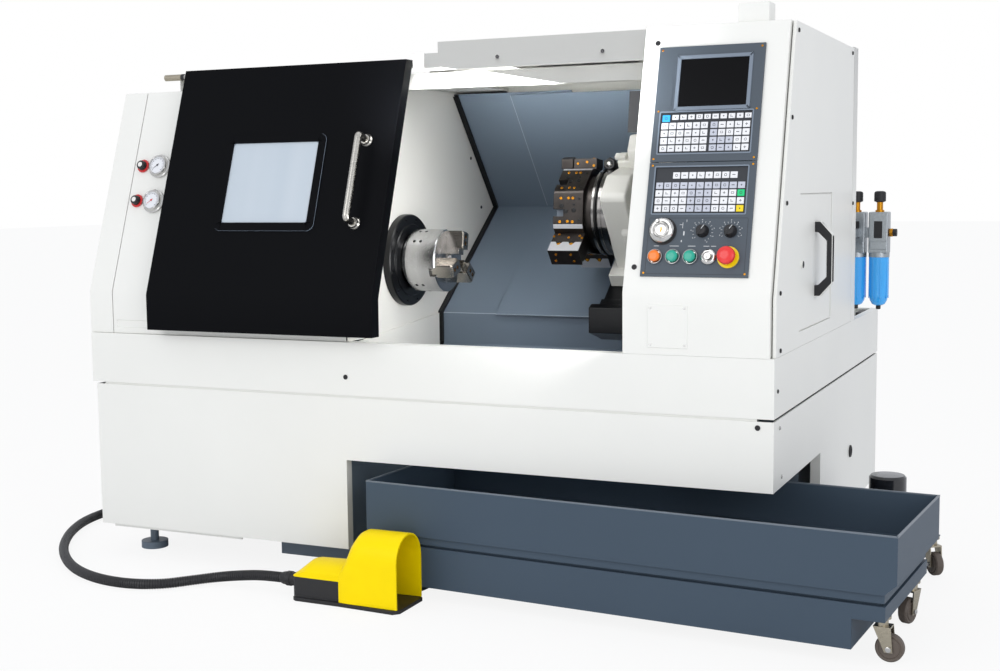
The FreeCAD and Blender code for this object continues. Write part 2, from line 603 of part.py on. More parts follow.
def spindle_flange():
    """Black bolted ring round the spindle nose with a raised inner lip."""
    body = new_body("spindle_flange")
    profile = [("wall_x + 0.3", "flange_bore"), ("wall_x + 0.3", "flange_r"),
               ("wall_x + flange_thick - 3", "flange_r"), ("wall_x + flange_thick", "flange_r - 3"),
               ("wall_x + flange_thick", "flange_lip_r"), ("wall_x + flange_thick + lip", "flange_lip_r - 2"),
               ("wall_x + flange_thick + lip", "flange_bore")]
    turn(body, "XY", "H_Axis", profile)
    pocket(body, "YZ", "wall_x + flange_thick - 6", "wall_x + flange_thick + 1",
           *[circle("%.4f * (flange_r - 12)" % math.cos(math.radians(30 * k + 15)),
                    "%.4f * (flange_r - 12)" % math.sin(math.radians(30 * k + 15)), "4.5")
             for k in range(12)])
    node("spindle_flange", body, SPINDLE)


def spindle_shaft():
    """Turned spindle: clamping cylinder, belt pulley, journal and nose in one line."""
    body = new_body("spindle_shaft")
    end = "cylinder_left + cylinder_long"
    profile = [("cylinder_left", "0"), ("cylinder_left", "cylinder_r - 8"),
               ("cylinder_left + 8", "cylinder_r"), (end, "cylinder_r"), (end, "shaft_r - 12"),
               ("pulley_left", "shaft_r - 12"), ("pulley_left", "pulley_r"),
               ("pulley_left + pulley_wide", "pulley_r"), ("pulley_left + pulley_wide", "shaft_r"),
               ("wall_x + 2", "shaft_r"), ("wall_x + 2", "nose_r"), ("chuck_back", "nose_r"),
               ("chuck_back", "0")]
    turn(body, "XY", "H_Axis", profile)
    node("spindle_shaft", body, SPINDLE)


def chuck_body():
    """Three-jaw power chuck: turned body with chamfers, groove and radial jaw slots."""
    body = new_body("chuck_body")
    profile = [("chuck_back", "0"), ("chuck_back", "chuck_r - 9"), ("chuck_back + 9", "chuck_r - 9"),
               ("chuck_back + 9", "chuck_r - 1"), ("chuck_back + 11", "chuck_r"), ("chuck_face - 3", "chuck_r"),
               ("chuck_face", "chuck_r - 3"), ("chuck_face", "22"), ("chuck_face - 9", "20"),
               ("chuck_face - 9", "0")]
    turn(body, "XY", "H_Axis", profile)
    doc.recompute()
    slot = pocket(body, "YZ", "chuck_face - slot_deep", "chuck_face + 1",
                  rect("18", "-(slot_wide) / 2", "chuck_r + 2", "slot_wide / 2"))
    spread = body.newObject("PartDesign::PolarPattern", "three_slots")
    spread.Originals = [slot]
    spread.Axis = (next(f for f in body.Origin.OriginFeatures if f.Role == "X_Axis"), [""])
    spread.Angle = 360
    spread.Occurrences = 3
    body.Tip = spread
    node("chuck_body", body, SPINDLE.multiply(jaw_turn(0)))


def jaw_turn(index):
    angle = size("jaw_angle") + 120 * index
    return FreeCAD.Placement(V(0, 0, 0), FreeCAD.Rotation(V(1, 0, 0), angle))


def chuck_jaws():
    """Master jaw in its slot with a stepped top jaw bolted on, three alike."""
    for index in range(3):
        body = new_body("chuck_jaw_%d" % (index + 1))
        pad(body, "XY", "-(slot_wide) / 2 + jaw_gap", "slot_wide / 2 - jaw_gap",
            rect("chuck_face - slot_deep + jaw_gap", "jaw_in + 6", "chuck_face + 2", "jaw_out - 3"))
        step = [("chuck_face + jaw_gap", "jaw_in"), ("chuck_face + jaw_tall - 12", "jaw_in"),
                ("chuck_face + jaw_tall - 12", "jaw_in + 14"), ("chuck_face + jaw_tall", "jaw_in + 14"),
                ("chuck_face + jaw_tall", "jaw_out - 6"), ("chuck_face + jaw_tall - 6", "jaw_out"),
                ("chuck_face + jaw_gap", "jaw_out")]
        pad(body, "XY", "-(jaw_wide) / 2 + 3", "jaw_wide / 2 - 3", step)
        pad(body, "XY", "-(jaw_wide) / 2", "jaw_wide / 2",
            [("chuck_face + jaw_gap", "jaw_in + 16"), ("chuck_face + jaw_tall - 2", "jaw_in + 16"),
             ("chuck_face + jaw_tall - 2", "jaw_out - 8"), ("chuck_face + jaw_tall - 6", "jaw_out - 3"),
             ("chuck_face + jaw_gap", "jaw_out - 3")])
        pocket(body, "YZ", "chuck_face + jaw_tall - 16", "chuck_face + jaw_tall + 1",
               circle("jaw_in + 30", "0", "6"), circle("jaw_out - 16", "0", "6"))
        node("chuck_jaw_%d" % (index + 1), body, SPINDLE.multiply(jaw_turn(index)))


def belt_drive():
    """Motor under the headstock with a flat-belt pulley, and the belt up to the spindle."""
    motor = new_body("spindle_motor")
    pad(motor, "YZ", "motor_left", "motor_left + motor_long", circle("motor_y", "motor_z", "motor_r"))
    pad(motor, "YZ", "motor_left", "motor_left + 16",
        rect("motor_y - motor_r - 6", "motor_z - motor_r - 6", "motor_y + motor_r + 6", "motor_z + motor_r - 8"))
    pad(motor, "XY", "frame_top + 0.3", "motor_z - motor_r + 30",
        rect("motor_left + 60", "motor_y - 80", "motor_left + motor_long - 60", "motor_y + 80"))
    node("spindle_motor", motor)
    pulley = new_body("motor_pulley")
    turn(pulley, "XY", "H_Axis",
         [("pulley_left", "0"), ("pulley_left", "motor_pulley_r"),
          ("pulley_left + pulley_wide", "motor_pulley_r"), ("pulley_left + pulley_wide", "22"),
          ("motor_left - 0.5", "22"), ("motor_left - 0.5", "0")])
    node("motor_pulley", pulley,
         FreeCAD.Placement(V(0, size("motor_y"), size("motor_z")), FreeCAD.Rotation()))
    rise = size("spindle_z - motor_z")
    shift = size("spindle_y - motor_y")
    length = math.hypot(rise, shift)
    outer = belt_outline(length, size("pulley_r + belt_thick"), size("motor_pulley_r + belt_thick"))
    inner = belt_outline(length, size("pulley_r") + 0.4, size("motor_pulley_r") + 0.4)
    belt = doc.addObject("Part::Feature", "drive_belt")
    wide = size("pulley_wide") - 10
    belt.Shape = outer.extrude(V(wide, 0, 0)).cut(inner.extrude(V(wide, 0, 0)))
    lean = math.degrees(math.atan2(shift, rise))
    node("drive_belt", belt,
         FreeCAD.Placement(V(size("pulley_left") + 5, size("motor_y"), size("motor_z")),
                           FreeCAD.Rotation(V(1, 0, 0), -lean)))


def belt_outline(length, big, small):
    """Face in the YZ plane: two circles, the small one at the origin, and their tangents."""
    angle = math.asin((big - small) / length)
    y, z = math.cos(angle), -math.sin(angle)
    low = [V(0, s * small * y, small * z) for s in (-1, 1)]
    high = [V(0, s * big * y, length + big * z) for s in (-1, 1)]
    edges = [Part.LineSegment(low[0], high[0]).toShape(),
             Part.Arc(high[0], V(0, 0, length + big), high[1]).toShape(),
             Part.LineSegment(high[1], low[1]).toShape(),
             Part.Arc(low[1], V(0, 0, -small), low[0]).toShape()]
    return Part.Face(Part.Wire(edges))


# ============================ saddle, cross slide and turret ============================

def saddle():
    """Saddle on the bed rails with the cross guide standing up through the moving guard."""
    body = new_body("saddle")
    pad(body, "XY", "saddle_low", "saddle_high", rect("saddle_left", "saddle_low_u", "saddle_right", "saddle_high_u"))
    pad(body, "XY", "saddle_high - 1", "guide_top",
        rect("guide_left", "guide_low_u", "guide_right", "guide_high_u"))
    pocket(body, "YZ", "guide_left - 1", "guide_right + 1",
           rect("guide_high_u - 70", "guide_top - 60", "guide_high_u + 1", "guide_top + 1"))
    node("saddle", body, BED)


def way_cover():
    """Moving leaf of the guard: folded sheet that travels with the saddle over the fixed leaf."""
    body = new_body("way_cover")
    rise = "leaf_high"
    up = math.radians(180 - BED_ANGLE - math.degrees(math.atan2(size("guard_top - fold_z"),
                                                              size("fold_y - guard_top_y"))))
    reach = math.hypot(size("guard_top - fold_z"), size("fold_y - guard_top_y")) - 8
    knee_u, knee_v = size("bed_run - 12"), size(rise)
    tip_u, tip_v = knee_u + reach * math.cos(up), knee_v + reach * math.sin(up)
    thick_u, thick_v = 4 * math.sin(up), -4 * math.cos(up)
    leaf = [("-14", rise), ("-14", "leaf_high + skin"), ("%.3f" % (knee_u - 3), "leaf_high + skin"),
            ("%.3f" % (tip_u - thick_u), "%.3f" % (tip_v - thick_v)),
            ("%.3f" % tip_u, "%.3f" % tip_v), ("%.3f" % (knee_u + 1.5), rise)]
    pad(body, "YZ", "leaf_left", "leaf_right", leaf)
    pocket(body, "XY", "leaf_high - 1", "leaf_high + skin + 1",
           rect("guide_left - 0.3", "-12", "guide_right + 0.3", "guide_high_u + 0.3"))
    node("way_cover", body, BED)


def cross_cover():
    """Black stepped covers at the low end of the cross guide, each over the one above."""
    body = new_body("cross_cover")
    steps = [("-186", "-118", 0, 0), ("-119", "-80", 12, 9), ("-81", "guide_low_u - 0.3", 22, 17)]
    for low, high, tuck, drop in steps:
        pad(body, "XY", "leaf_high + skin + 8 + %d" % drop, "guide_top - %d" % drop,
            rect("guide_left - 34 + %d" % tuck, low, "guide_right + 34 - %d" % tuck, high))
    node("cross_cover", body, BED)


def turret_housing():
    """White cast turret body on the cross guide, with the polished index ring in front."""
    body = new_body("turret_housing")
    pad(body, "XY", "housing_low - turret_v", "housing_low - turret_v + 40",
        rect("ring_left + 30", "-150", "housing_right", "160"))
    front = "ring_left + ring_thick"
    pad(body, "YZ", front, "housing_right",
        [("-126", "housing_low - turret_v + 10"), ("-126", "20"), ("-80", "100"), ("10", "128"),
         ("84", "100"), ("128", "30"), ("146", "housing_low - turret_v + 10")])
    pad(body, "YZ", "ring_left", front + " + 6", circle("0", "0", "ring_r"))
    # index motor hump and the coolant block beside the ring
    pad(body, "YZ", front + " + 60", "housing_right - 8",
        [("40", "60"), ("52", "176"), ("96", "196"), ("150", "150"), ("150", "40")])
    pad(body, "YZ", front, front + " + 42",
        [("58", "78"), ("62", "118"), ("94", "122"), ("104", "90"), ("96", "70")])
    node("turret_housing", body, TURRET)


def turret_disc():
    """Eight-sided tool disc with a turned collar, clamp slots and bolt holes."""
    body = new_body("turret_disc")
    reach = size("disc_flat") / math.cos(math.pi / 8)
    octagon = [("%.4f" % (reach * math.cos(math.pi / 8 + k * math.pi / 4)),
                "%.4f" % (reach * math.sin(math.pi / 8 + k * math.pi / 4))) for k in range(8)]
    pad(body, "YZ", "turret_face", "turret_face + disc_thick", octagon)
    pad(body, "YZ", "turret_face + disc_thick - 1", "ring_left - 0.5", circle("0", "0", "disc_flat - 12"))
    pad(body, "YZ", "turret_face - 14", "turret_face + 1", circle("0", "0", "42"))
    slot = pocket(body, "YZ", "turret_face + 30", "turret_face + 56",
                  rect("disc_flat - 9", "-46", "disc_flat + 12", "46"))
    holes = pocket(body, "YZ", "turret_face - 1", "turret_face + 24",
                   circle("disc_flat - 22", "26", "6.5"), circle("disc_flat - 22", "-26", "6.5"))
    spread = body.newObject("PartDesign::PolarPattern", "eight_stations")
    spread.Originals = [slot, holes]
    spread.Axis = (next(f for f in body.Origin.OriginFeatures if f.Role == "X_Axis"), [""])
    spread.Angle = 360
    bind(spread, Occurrences="tool_stations")
    body.Tip = spread
    node("turret_disc", body, TURRET)


HOLDER_STATIONS = (1, 3, 4, 6)


def tool_holders():
    """Four holder blocks bolted on flats of the disc, each with its boring sleeve."""
    holders = []
    low = "disc_flat + 0.3"
    for station in HOLDER_STATIONS:
        block = box("turret_face - 8", "-(holder_wide) / 2", low, "turret_face - 8 + holder_long",
                    "holder_wide / 2", "disc_flat + holder_tall")
        bevel = rod("X", "turret_face - 9", "-20", "disc_flat + 24", "7", "holder_long + 2")
        bore = rod("X", "turret_face - 9", "8", "disc_flat + 26", "13", "holder_long + 2")
        holder = joined(cut(block, bevel, bore),
                        rod("X", "turret_face - 22", "8", "disc_flat + 26", "13", "holder_long + 8"))
        holder.Placement = FreeCAD.Placement(V(0, 0, 0), FreeCAD.Rotation(V(1, 0, 0), 45 * station))
        holders.append(holder)
    node("tool_holders", group(*holders), TURRET)


# ============================ door ============================

def door_panel():
    """Sliding door: one folded black sheet with returns all round and the window opening."""
    body = new_body("door_panel")
    top_front = "door_front + door_slope * (door_top - door_fold)"
    outer = [("door_front", "door_low"), ("door_front", "door_fold"), (top_front, "door_top"),
             (top_front + " + door_deep", "door_top"), ("door_front + door_deep", "door_fold"),
             ("door_front + door_deep", "door_low")]
    pad(body, "YZ", "door_left", "door_right", outer)
    inner_top = "door_front + skin + door_slope * (door_top - skin - door_fold)"
    inner = [("door_front + skin", "door_low + skin"), ("door_front + skin", "door_fold"),
             (inner_top, "door_top - skin"), (inner_top + " + door_deep + 9", "door_top - skin"),
             ("door_front + door_deep + 9", "door_fold"), ("door_front + door_deep + 9", "door_low + skin")]
    pocket(body, "YZ", "door_left + skin", "door_right - skin", inner)
    pocket(body, "XZ", "door_front - 1", "door_front + 400",
           rect("window_left", "window_low", "window_right", "window_high"))
    # two hangers hooked round the rail, open to the rear where the rail's brackets stand
    sheet_y = "door_front + 1 + door_slope * (lintel_top + 2 - door_fold)"
    for x in ("door_left + 30", "door_right - 70"):
        pad(body, "YZ", x, x + " + 40",
            [(sheet_y, "lintel_top + 1"), (sheet_y, "lintel_top + 4"), ("rail_y - 12", "lintel_top + 4"),
             ("rail_y - 12", "rail_z + rail_r + 4"), ("rail_y + 2", "rail_z + rail_r + 4"),
             ("rail_y + 2", "rail_z + rail_r + 0.3"), ("rail_y - rail_r - 0.3", "rail_z + rail_r + 0.3"),
             ("rail_y - rail_r - 0.3", "rail_z - rail_r - 0.3"), ("rail_y + 2", "rail_z - rail_r - 0.3"),
             ("rail_y + 2", "lintel_top + 1")])
    node("door_panel", body)


def window_span(edge):
    """Height above the floor turned into distance up the door's slope."""
    return "(%s - door_fold) * sqrt(1 + door_slope * door_slope)" % edge


def door_window():
    """Window pane with its clamping lip in front of the sheet."""
    low, high = window_span("window_low"), window_span("window_high")
    pane = box("window_left + 1", low + " + 2", "-14", "window_right - 1", high + " - 4", "0.5")
    lip = box("window_left - window_lip", low + " - window_lip", "0.5", "window_right + window_lip",
              high + " + window_lip", "5")
    well = box("window_left + 6", low + " + 6", "2.5", "window_right - 6", high + " - 6", "6")
    node("door_window", cut(joined(pane, lip), well), DOOR)


def rounded_path(points, bend=None):
    """Wire of straight runs and tangent arcs; bend fixes the arcs' radius, or each arc is as
    large as its two runs allow.  Returns the wire and the list of radii."""
    edges, radii = [], []
    start = points[0]
    for before, corner, after in zip(points, points[1:], points[2:]):
        inward, outward = corner - before, after - corner
        half = inward.getAngle(outward) / 2
        trim = 0.45 * min(inward.Length, outward.Length)
        radius = trim / math.tan(half)
        if bend is not None:
            radius = bend
            trim = bend * math.tan(half)
        inward.normalize()
        outward.normalize()
        arrive, leave = corner - inward * trim, corner + outward * trim
        to_centre = outward - inward
        to_centre.normalize()
        middle = corner + to_centre * (radius / math.cos(half) - radius)
        edges.append(Part.LineSegment(start, arrive).toShape())
        edges.append(Part.Arc(arrive, middle, leave).toShape())
        radii.append(radius)
        start = leave
    edges.append(Part.LineSegment(start, points[-1]).toShape())
    return Part.Wire(edges), radii


def tube_along(wire, radius, heading):
    ring = Part.Wire([Part.Circle(wire.Edges[0].Vertexes[0].Point, heading, radius).toShape()])
    return wire.makePipeShell([ring], True, False)


def door_handle():
    """Bent tube handle on two round rosettes."""
    low, high = size(window_span("handle_low")), size(window_span("handle_high"))
    x, out = size("handle_x"), size("handle_out")
    path, _ = rounded_path([V(x, low, 3), V(x, low, out), V(x, high, out), V(x, high, 3)],
                           bend=size("handle_r") * 1.8)
    bar = doc.addObject("Part::Feature", "handle_bar")
    bar.Shape = tube_along(path, size("handle_r"), V(0, 0, 1))
    feet = [rod("Z", "handle_x", window_span(end), "0.3", "rosette_r", "6")
            for end in ("handle_low", "handle_high")]
    node("door_handle", joined(bar, *feet), DOOR)


# ============================ operator panel ============================

BUTTONS = {"orange_button": "orange_x", "green_button_left": "green_x",
           "green_button_right": "second_green_x"}


def control_plates():
    """Display plate above and machine plate below, with collars and stem holes."""
    upper = new_body("display_plate")
    pad(upper, "XY", "0.3", "plate_thick", rect("plate_left", "plate_seam + 1", "plate_right", "plate_high"))
    pocket(upper, "XY", "1.5", "plate_thick + 1",
           rect("screen_left - 6", "screen_low - 6", "screen_right + 6", "screen_high + 6"),
           rect("key_left - 4", "key_high_low - 5", "key_left + key_pitch * 11 + 2",
                "key_high_low + key_row * 5 + 4"))
    lower = new_body("machine_plate")
    pad(lower, "XY", "0.3", "plate_thick", rect("plate_left", "plate_low", "plate_right", "plate_seam - 1"))
    pocket(lower, "XY", "1.5", "plate_thick + 1",
           rect("key_left - 4", "key_low_low - 5", "key_left + key_pitch * 11 + 2",
                "key_low_low + key_row * 5 + 16"))
    collars = [circle(x, "button_row", "collar_r") for x in BUTTONS.values()]
    pad(lower, "XY", "plate_thick - 1", "plate_thick + 5", *collars)
    pocket(lower, "XY", "plate_thick", "plate_thick + 6",
           *[circle(x, "button_row", "button_r + 0.6") for x in BUTTONS.values()])
    pad(lower, "XY", "plate_thick - 1", "plate_thick + 2", circle("stop_x", "button_row", "stop_ring"))
    stems = [circle(x, "button_row", "stem_hole") for x in list(BUTTONS.values()) + ["key_x", "stop_x"]]
    stems += [circle(x, "dial_row", "stem_hole") for x in ("wheel_x", "feed_x", "rapid_x")]
    pocket(lower, "XY", "0", "plate_thick + 3", *stems)
    doc.recompute()
    node("control_plates", group(upper, lower), PANEL)


def screen():
    """Display pane in its recess."""
    body = new_body("screen")
    pad(body, "XY", "1.8", "3.6", rect("screen_left", "screen_low", "screen_right", "screen_high"))
    node("screen", body, PANEL)


def keypads():
    """Two fields of membrane keys, each five rows."""
    keys = []
    for low in ("key_high_low", "key_low_low"):
        upper_field = low == "key_high_low"
        for row in range(5):
            top_row = row == 4
            first = 2 if top_row and not upper_field else 0
            last = 10 if top_row and not upper_field else 11
            for column in range(first, last):
                x = "key_left + key_pitch * %d" % column
                y = "%s + key_row * %d + %d" % (low, row, 10 if top_row and not upper_field else 0)
                keys.append(box(x, y, "1.8", x + " + key_wide", y + " + key_tall", "1.8 + key_proud + 2"))
    node("keypads", group(*keys), PANEL)


def round_control(name, x, row, profile):
    """A turned control on the machine plate; profile is (height, radius) from its stem end."""
    body = new_body(name)
    outline = [("0", profile[0][0])] + [(radius, height) for height, radius in profile]
    outline.append(("0", profile[-1][0]))
    turn(body, "XZ", "V_Axis", outline)
    place = PANEL.multiply(FreeCAD.Placement(V(size(x), size(row), 0), FreeCAD.Rotation(V(1, 0, 0), 90)))
    flip = FreeCAD.Placement(V(0, 0, 0), FreeCAD.Rotation(V(1, 0, 0), -90))
    node(name, body, place.multiply(flip))


def panel_controls():
    """Push buttons, handwheel, dials, key switch and stop button."""
    for name, x in BUTTONS.items():
        round_control(name, x, "button_row",
                      [("-16", "stem_rod"), ("plate_thick + press + 0.5", "stem_rod"),
                       ("plate_thick + press + 0.5", "button_r"), ("plate_thick + 11", "button_r"),
                       ("plate_thick + 13", "button_r - 2")])
    round_control("key_switch", "key_x", "button_row",
                  [("-16", "stem_rod"), ("plate_thick + 0.4", "stem_rod"), ("plate_thick + 0.4", "collar_r"),
                   ("plate_thick + 4", "collar_r"), ("plate_thick + 7", "collar_r - 4"),
                   ("plate_thick + 7", "9"), ("plate_thick + 14", "8")])
    round_control("estop_button", "stop_x", "button_row",
                  [("-16", "stem_rod"), ("plate_thick + 2 + press + 0.6", "stem_rod"),
                   ("plate_thick + 2 + press + 0.6", "12"), ("plate_thick + 14", "12"),
                   ("plate_thick + 18", "stop_r"), ("plate_thick + 26", "stop_r"),
                   ("plate_thick + 31", "stop_r - 5"), ("plate_thick + 32", "stop_r - 12")])
    round_control("handwheel", "wheel_x", "dial_row",
                  [("-16", "stem_rod"), ("plate_thick + 0.5", "stem_rod"), ("plate_thick + 0.5", "wheel_r - 1"),
                   ("plate_thick + 2", "wheel_r"), ("plate_thick + 14", "wheel_r"),
                   ("plate_thick + 17", "wheel_r - 4"), ("plate_thick + 17", "wheel_r - 10"),
                   ("plate_thick + 14", "wheel_r - 12")])
    for name, x in (("feed_dial", "feed_x"), ("rapid_dial", "rapid_x")):
        cap = round_blank(x)
        grip = box("-3", "-(dial_r) + 1", "plate_thick + 6", "3", "dial_r - 1", "plate_thick + 20")
        dial = joined(cap, grip)
        place = PANEL.multiply(FreeCAD.Placement(V(size(x), size("dial_row"), 0),
                                                 FreeCAD.Rotation(V(0, 0, 1), -35)))
        node(name, dial, place)


def round_blank(x):
    """Skirt and stem of a rotary dial about its own axis."""
    return joined(rod("Z", "0", "0", "-16", "stem_rod", "plate_thick + 17"),
                  rod("Z", "0", "0", "plate_thick + 0.5", "dial_r", "7", tip="dial_r - 3"))


# ============================ side hatch, gauges and air unit ============================

def access_door():
    """Side access door with its angular bridge handle."""
    body = new_body("access_door")
    pad(body, "YZ", "right_end - skin - 2", "right_end - 2",
        rect("hatch_front + hatch_gap", "hatch_low + hatch_gap", "hatch_rear - hatch_gap",
             "hatch_high - hatch_gap"))
    face = "right_end - 3"
    out = "right_end + grip_out"
    bridge = [(face, "grip_low"), ("right_end + 12", "grip_low"), (out, "grip_low + 34"),
              (out, "grip_high - 34"), ("right_end + 12", "grip_high"), (face, "grip_high"),
              (face, "grip_high - 24"), ("right_end + 4", "grip_high - 24"),
              (out + " - 14", "grip_high - 48"), (out + " - 14", "grip_low + 48"),
              ("right_end + 4", "grip_low + 24"), (face, "grip_low + 24")]
    pad(body, "XZ", "grip_y - 12", "grip_y + 12", bridge)
    pad(body, "YZ", "right_end - 3", "right_end + 3", circle("hatch_front + 26", "834", "9"))
    node("access_door", body)


def pressure_gauges():
    """Two dial gauges clamped to the sloping cover."""
    gauges = []
    for up in ("gauge_high", "gauge_low"):
        case = rod("Z", "gauge_x", up, "0.3", "gauge_r", "16")
        bezel = rod("Z", "gauge_x", up, "12", "gauge_r + 3", "7")
        dial = rod("Z", "gauge_x", up, "17", "gauge_r - 3", "8")
        gauges.append(cut(joined(case, bezel), dial))
    node("pressure_gauges", group(*gauges), COVER)


def gauge_knobs():
    """Pressure setting knobs beside the gauges."""
    for name, up in (("gauge_knob_upper", "gauge_high + 2"), ("gauge_knob_lower", "gauge_low + 2")):
        knob = joined(rod("Z", "0", "0", "0.4", "knob_r", "4"),
                      rod("Z", "0", "0", "4", "knob_r - 5", "18", tip="knob_r - 7"))
        place = COVER.multiply(FreeCAD.Placement(V(size("gauge_x + knob_dx"), size(up), 0),
                                                 FreeCAD.Rotation()))
        node(name, knob, place)


def air_unit():
    """Filter-regulator and lubricator side by side on a bracket at the rear strip."""
    middle = "(air_low + air_high) / 2"
    pieces = [box("air_x - air_pitch - 44", "hood_back + 0.3", middle + " - 40", "right_end - 2",
                  "hood_back + 5", middle + " + 40"),
              box("air_x - air_pitch - 20", "hood_back + 4", middle + " - 14", "air_x - air_pitch + 14",
                  "air_y - air_half + 2", middle + " + 14"),
              box("air_x - air_pitch + 20", "air_y - 15", middle + " - 15", "air_x - 20", "air_y + 15",
                  middle + " + 15")]
    for x in ("air_x", "air_x - air_pitch"):
        pieces.append(box(x + " - air_half", "air_y - air_half", "air_low", x + " + air_half",
                          "air_y + air_half", "air_high"))
        pieces.append(rod("Z", x, "air_y", "bowl_low", "bowl_r", "air_low - bowl_low + 1"))
        pieces.append(rod("Z", x, "air_y", "bowl_low - 15", "bowl_r - 14", "15.5", tip="bowl_r"))
        pieces.append(rod("Z", x, "air_y", "bowl_low - 28", "6", "16"))
        pieces.append(rod("Z", x, "air_y", "air_high - 1", "11", "32"))
        pieces.append(rod("Z", x, "air_y", "air_high + 30", "17", "29"))
    pieces.append(rod("X", "air_x + air_half - 1", "air_y", middle, "12", "24"))
    node("air_unit", joined(*pieces))


# ============================ tray, tank and casters ============================

def chip_tray():
    """Folded chip tray: upright walls, tucked-in foot, open top."""
    body = new_body("chip_tray")
    profile = [("0", "tray_knee"), ("0", "tray_top"), ("tray_wide", "tray_top"), ("tray_wide", "tray_knee"),
               ("tray_wide - tray_tuck", "tray_low"), ("tray_tuck", "tray_low")]
    pad(body, "YZ", "-(tray_long)", "0", profile)
    pocket(body, "XZ", "-1", "tray_wide + 1",
           [("1", "tray_knee"), ("1", "tray_low - 1"), ("-(tray_tuck)", "tray_low - 1"), ("-(tray_tuck)", "tray_low"),
            ("0", "tray_knee")])
    pocket(body, "XY", "tray_low + tray_skin", "tray_top + 1",
           rect("-(tray_long) + tray_skin", "tray_tuck", "-(tray_tuck)", "tray_wide - tray_tuck"))
    pocket(body, "XY", "tray_knee", "tray_top + 1",
           rect("-(tray_long) + tray_skin", "tray_skin", "-(tray_skin)", "tray_wide - tray_skin"))
    node("chip_tray", body, TANK)


def coolant_tank():
    """Welded coolant tank under the tray, with the raised bottom over the casters, the pump
    wing behind and fixed rollers under the hidden end."""
    body = new_body("coolant_tank")
    left = "-(tray_long) + tank_inset"
    pad(body, "XY", "tank_low", "tank_top",
        rect(left, "tank_inset", "-(tank_step)", "tray_wide - tank_inset"))
    pad(body, "XY", "step_low", "tank_top",
        rect("-(tank_step) - 1", "tank_inset", "-(tank_inset)", "tray_wide - tank_inset"))
    pad(body, "XY", "step_low", "wing_top",
        rect("-(wing_left)", "tray_wide + 6", "-(tank_inset)", "wing_back"))
    pad(body, "XY", "step_low", "tank_top",
        rect("-(wing_left)", "tray_wide - tank_inset - 1", "-(tank_inset)", "tray_wide + 7"))
    pocket(body, "XY", "tank_low + skin", "tank_top + 1",
           rect(left + " + skin", "tank_inset + skin", "-(tank_step) - skin", "tray_wide - tank_inset - skin"))
    # saddle strips that carry the tray
    pad(body, "XY", "tank_low + skin - 1", "tray_low - 0.3",
        rect("-(tray_long) + 200", "60", "-(tray_long) + 240", "tray_wide - 60"))
    pad(body, "XY", "tank_low + skin - 1", "tray_low - 0.3",
        rect("-(tank_step) - 120", "60", "-(tank_step) - 80", "tray_wide - 60"))
    # fixed rollers at the hidden end
    for y in ("70", "tray_wide - 110"):
        pad(body, "XZ", y, y + " + 40",
            [("-(tray_long) + 70", "tank_low + 1"), ("-(tray_long) + 88", "6"), ("-(tray_long) + 100", "0.3"),
             ("-(tray_long) + 118", "0.3"), ("-(tray_long) + 130", "6"), ("-(tray_long) + 148", "tank_low + 1")])
    node("coolant_tank", body, TANK)


def coolant_pump():
    """Immersion pump on the wing: flange, motor, finned cap and outlet elbow."""
    body = new_body("coolant_pump")
    profile = [("0", "wing_top + 0.3"), ("pump_r + 12", "wing_top + 0.3"), ("pump_r + 12", "wing_top + 10"),
               ("pump_r - 6", "wing_top + 10"), ("pump_r - 6", "wing_top + 96"), ("pump_r", "wing_top + 98"),
               ("pump_r", "wing_top + 134"), ("pump_r - 5", "wing_top + 140"), ("0", "wing_top + 142")]
    turn(body, "XZ", "V_Axis", profile)
    pad(body, "YZ", "20", "92", circle("0", "wing_top + 74", "13"))
    place = TANK.multiply(FreeCAD.Placement(V(size("pump_x"), size("pump_y"), 0), FreeCAD.Rotation()))
    node("coolant_pump", body, place)


CASTERS = [("-45", "66", 0), ("-46", "370", -104), ("-86", "809", -50)]


def casters():
    """Swivel casters: pressed fork with its plate, and a solid tyred wheel on a pin."""
    for index, (x, y, turned) in enumerate(CASTERS, start=1):
        place = TANK.multiply(FreeCAD.Placement(V(size(x), size(y), 0),
                                                FreeCAD.Rotation(V(0, 0, 1), turned)))
        fork = new_body("caster_fork_%d" % index)
        cheek = [("-16", "step_low - 22"), ("22", "step_low - 22"), ("caster_trail + 9", "caster_r - 8"),
                 ("caster_trail - 9", "caster_r - 8")]
        pad(fork, "XZ", "-(fork_wide) / 2", "fork_wide / 2", cheek)
        pocket(fork, "XZ", "-(fork_wide) / 2 + 3", "fork_wide / 2 - 3",
               rect("-60", "0", "70", "step_low - 26"))
        pad(fork, "XY", "step_low - 23", "step_low - 6", circle("0", "0", "14"))
        pad(fork, "XY", "step_low - 7", "step_low - 0.5", circle("0", "0", "20"))
        pad(fork, "XZ", "-(fork_wide) / 2 - 3", "fork_wide / 2 + 3", circle("caster_trail", "caster_r", "4"))
        node("caster_fork_%d" % index, fork, place)
        wheel = new_body("caster_wheel_%d" % index)
        half = "caster_wide / 2"
        turn(wheel, "XY", "V_Axis",
             [("4.1", "-(%s)" % half), ("caster_r - 10", "-(%s)" % half), ("caster_r - 8", "-(%s) + 3" % half),
              ("caster_r - 3", "-(%s) + 1" % half), ("caster_r", "-(%s) + 5" % half), ("caster_r", "%s - 5" % half),
              ("caster_r - 3", "%s - 1" % half), ("caster_r - 8", "%s - 3" % half), ("caster_r - 10", half),
              ("4.1", half)])
        axle = FreeCAD.Placement(V(size("caster_trail"), 0, size("caster_r")), FreeCAD.Rotation())
        node("caster_wheel_%d" % index, wheel, place.multiply(axle))


# ============================ pedal and conduit ============================

PEDAL = FreeCAD.Placement(V(size("pedal_left"), size("pedal_front"), 0), FreeCAD.Rotation())


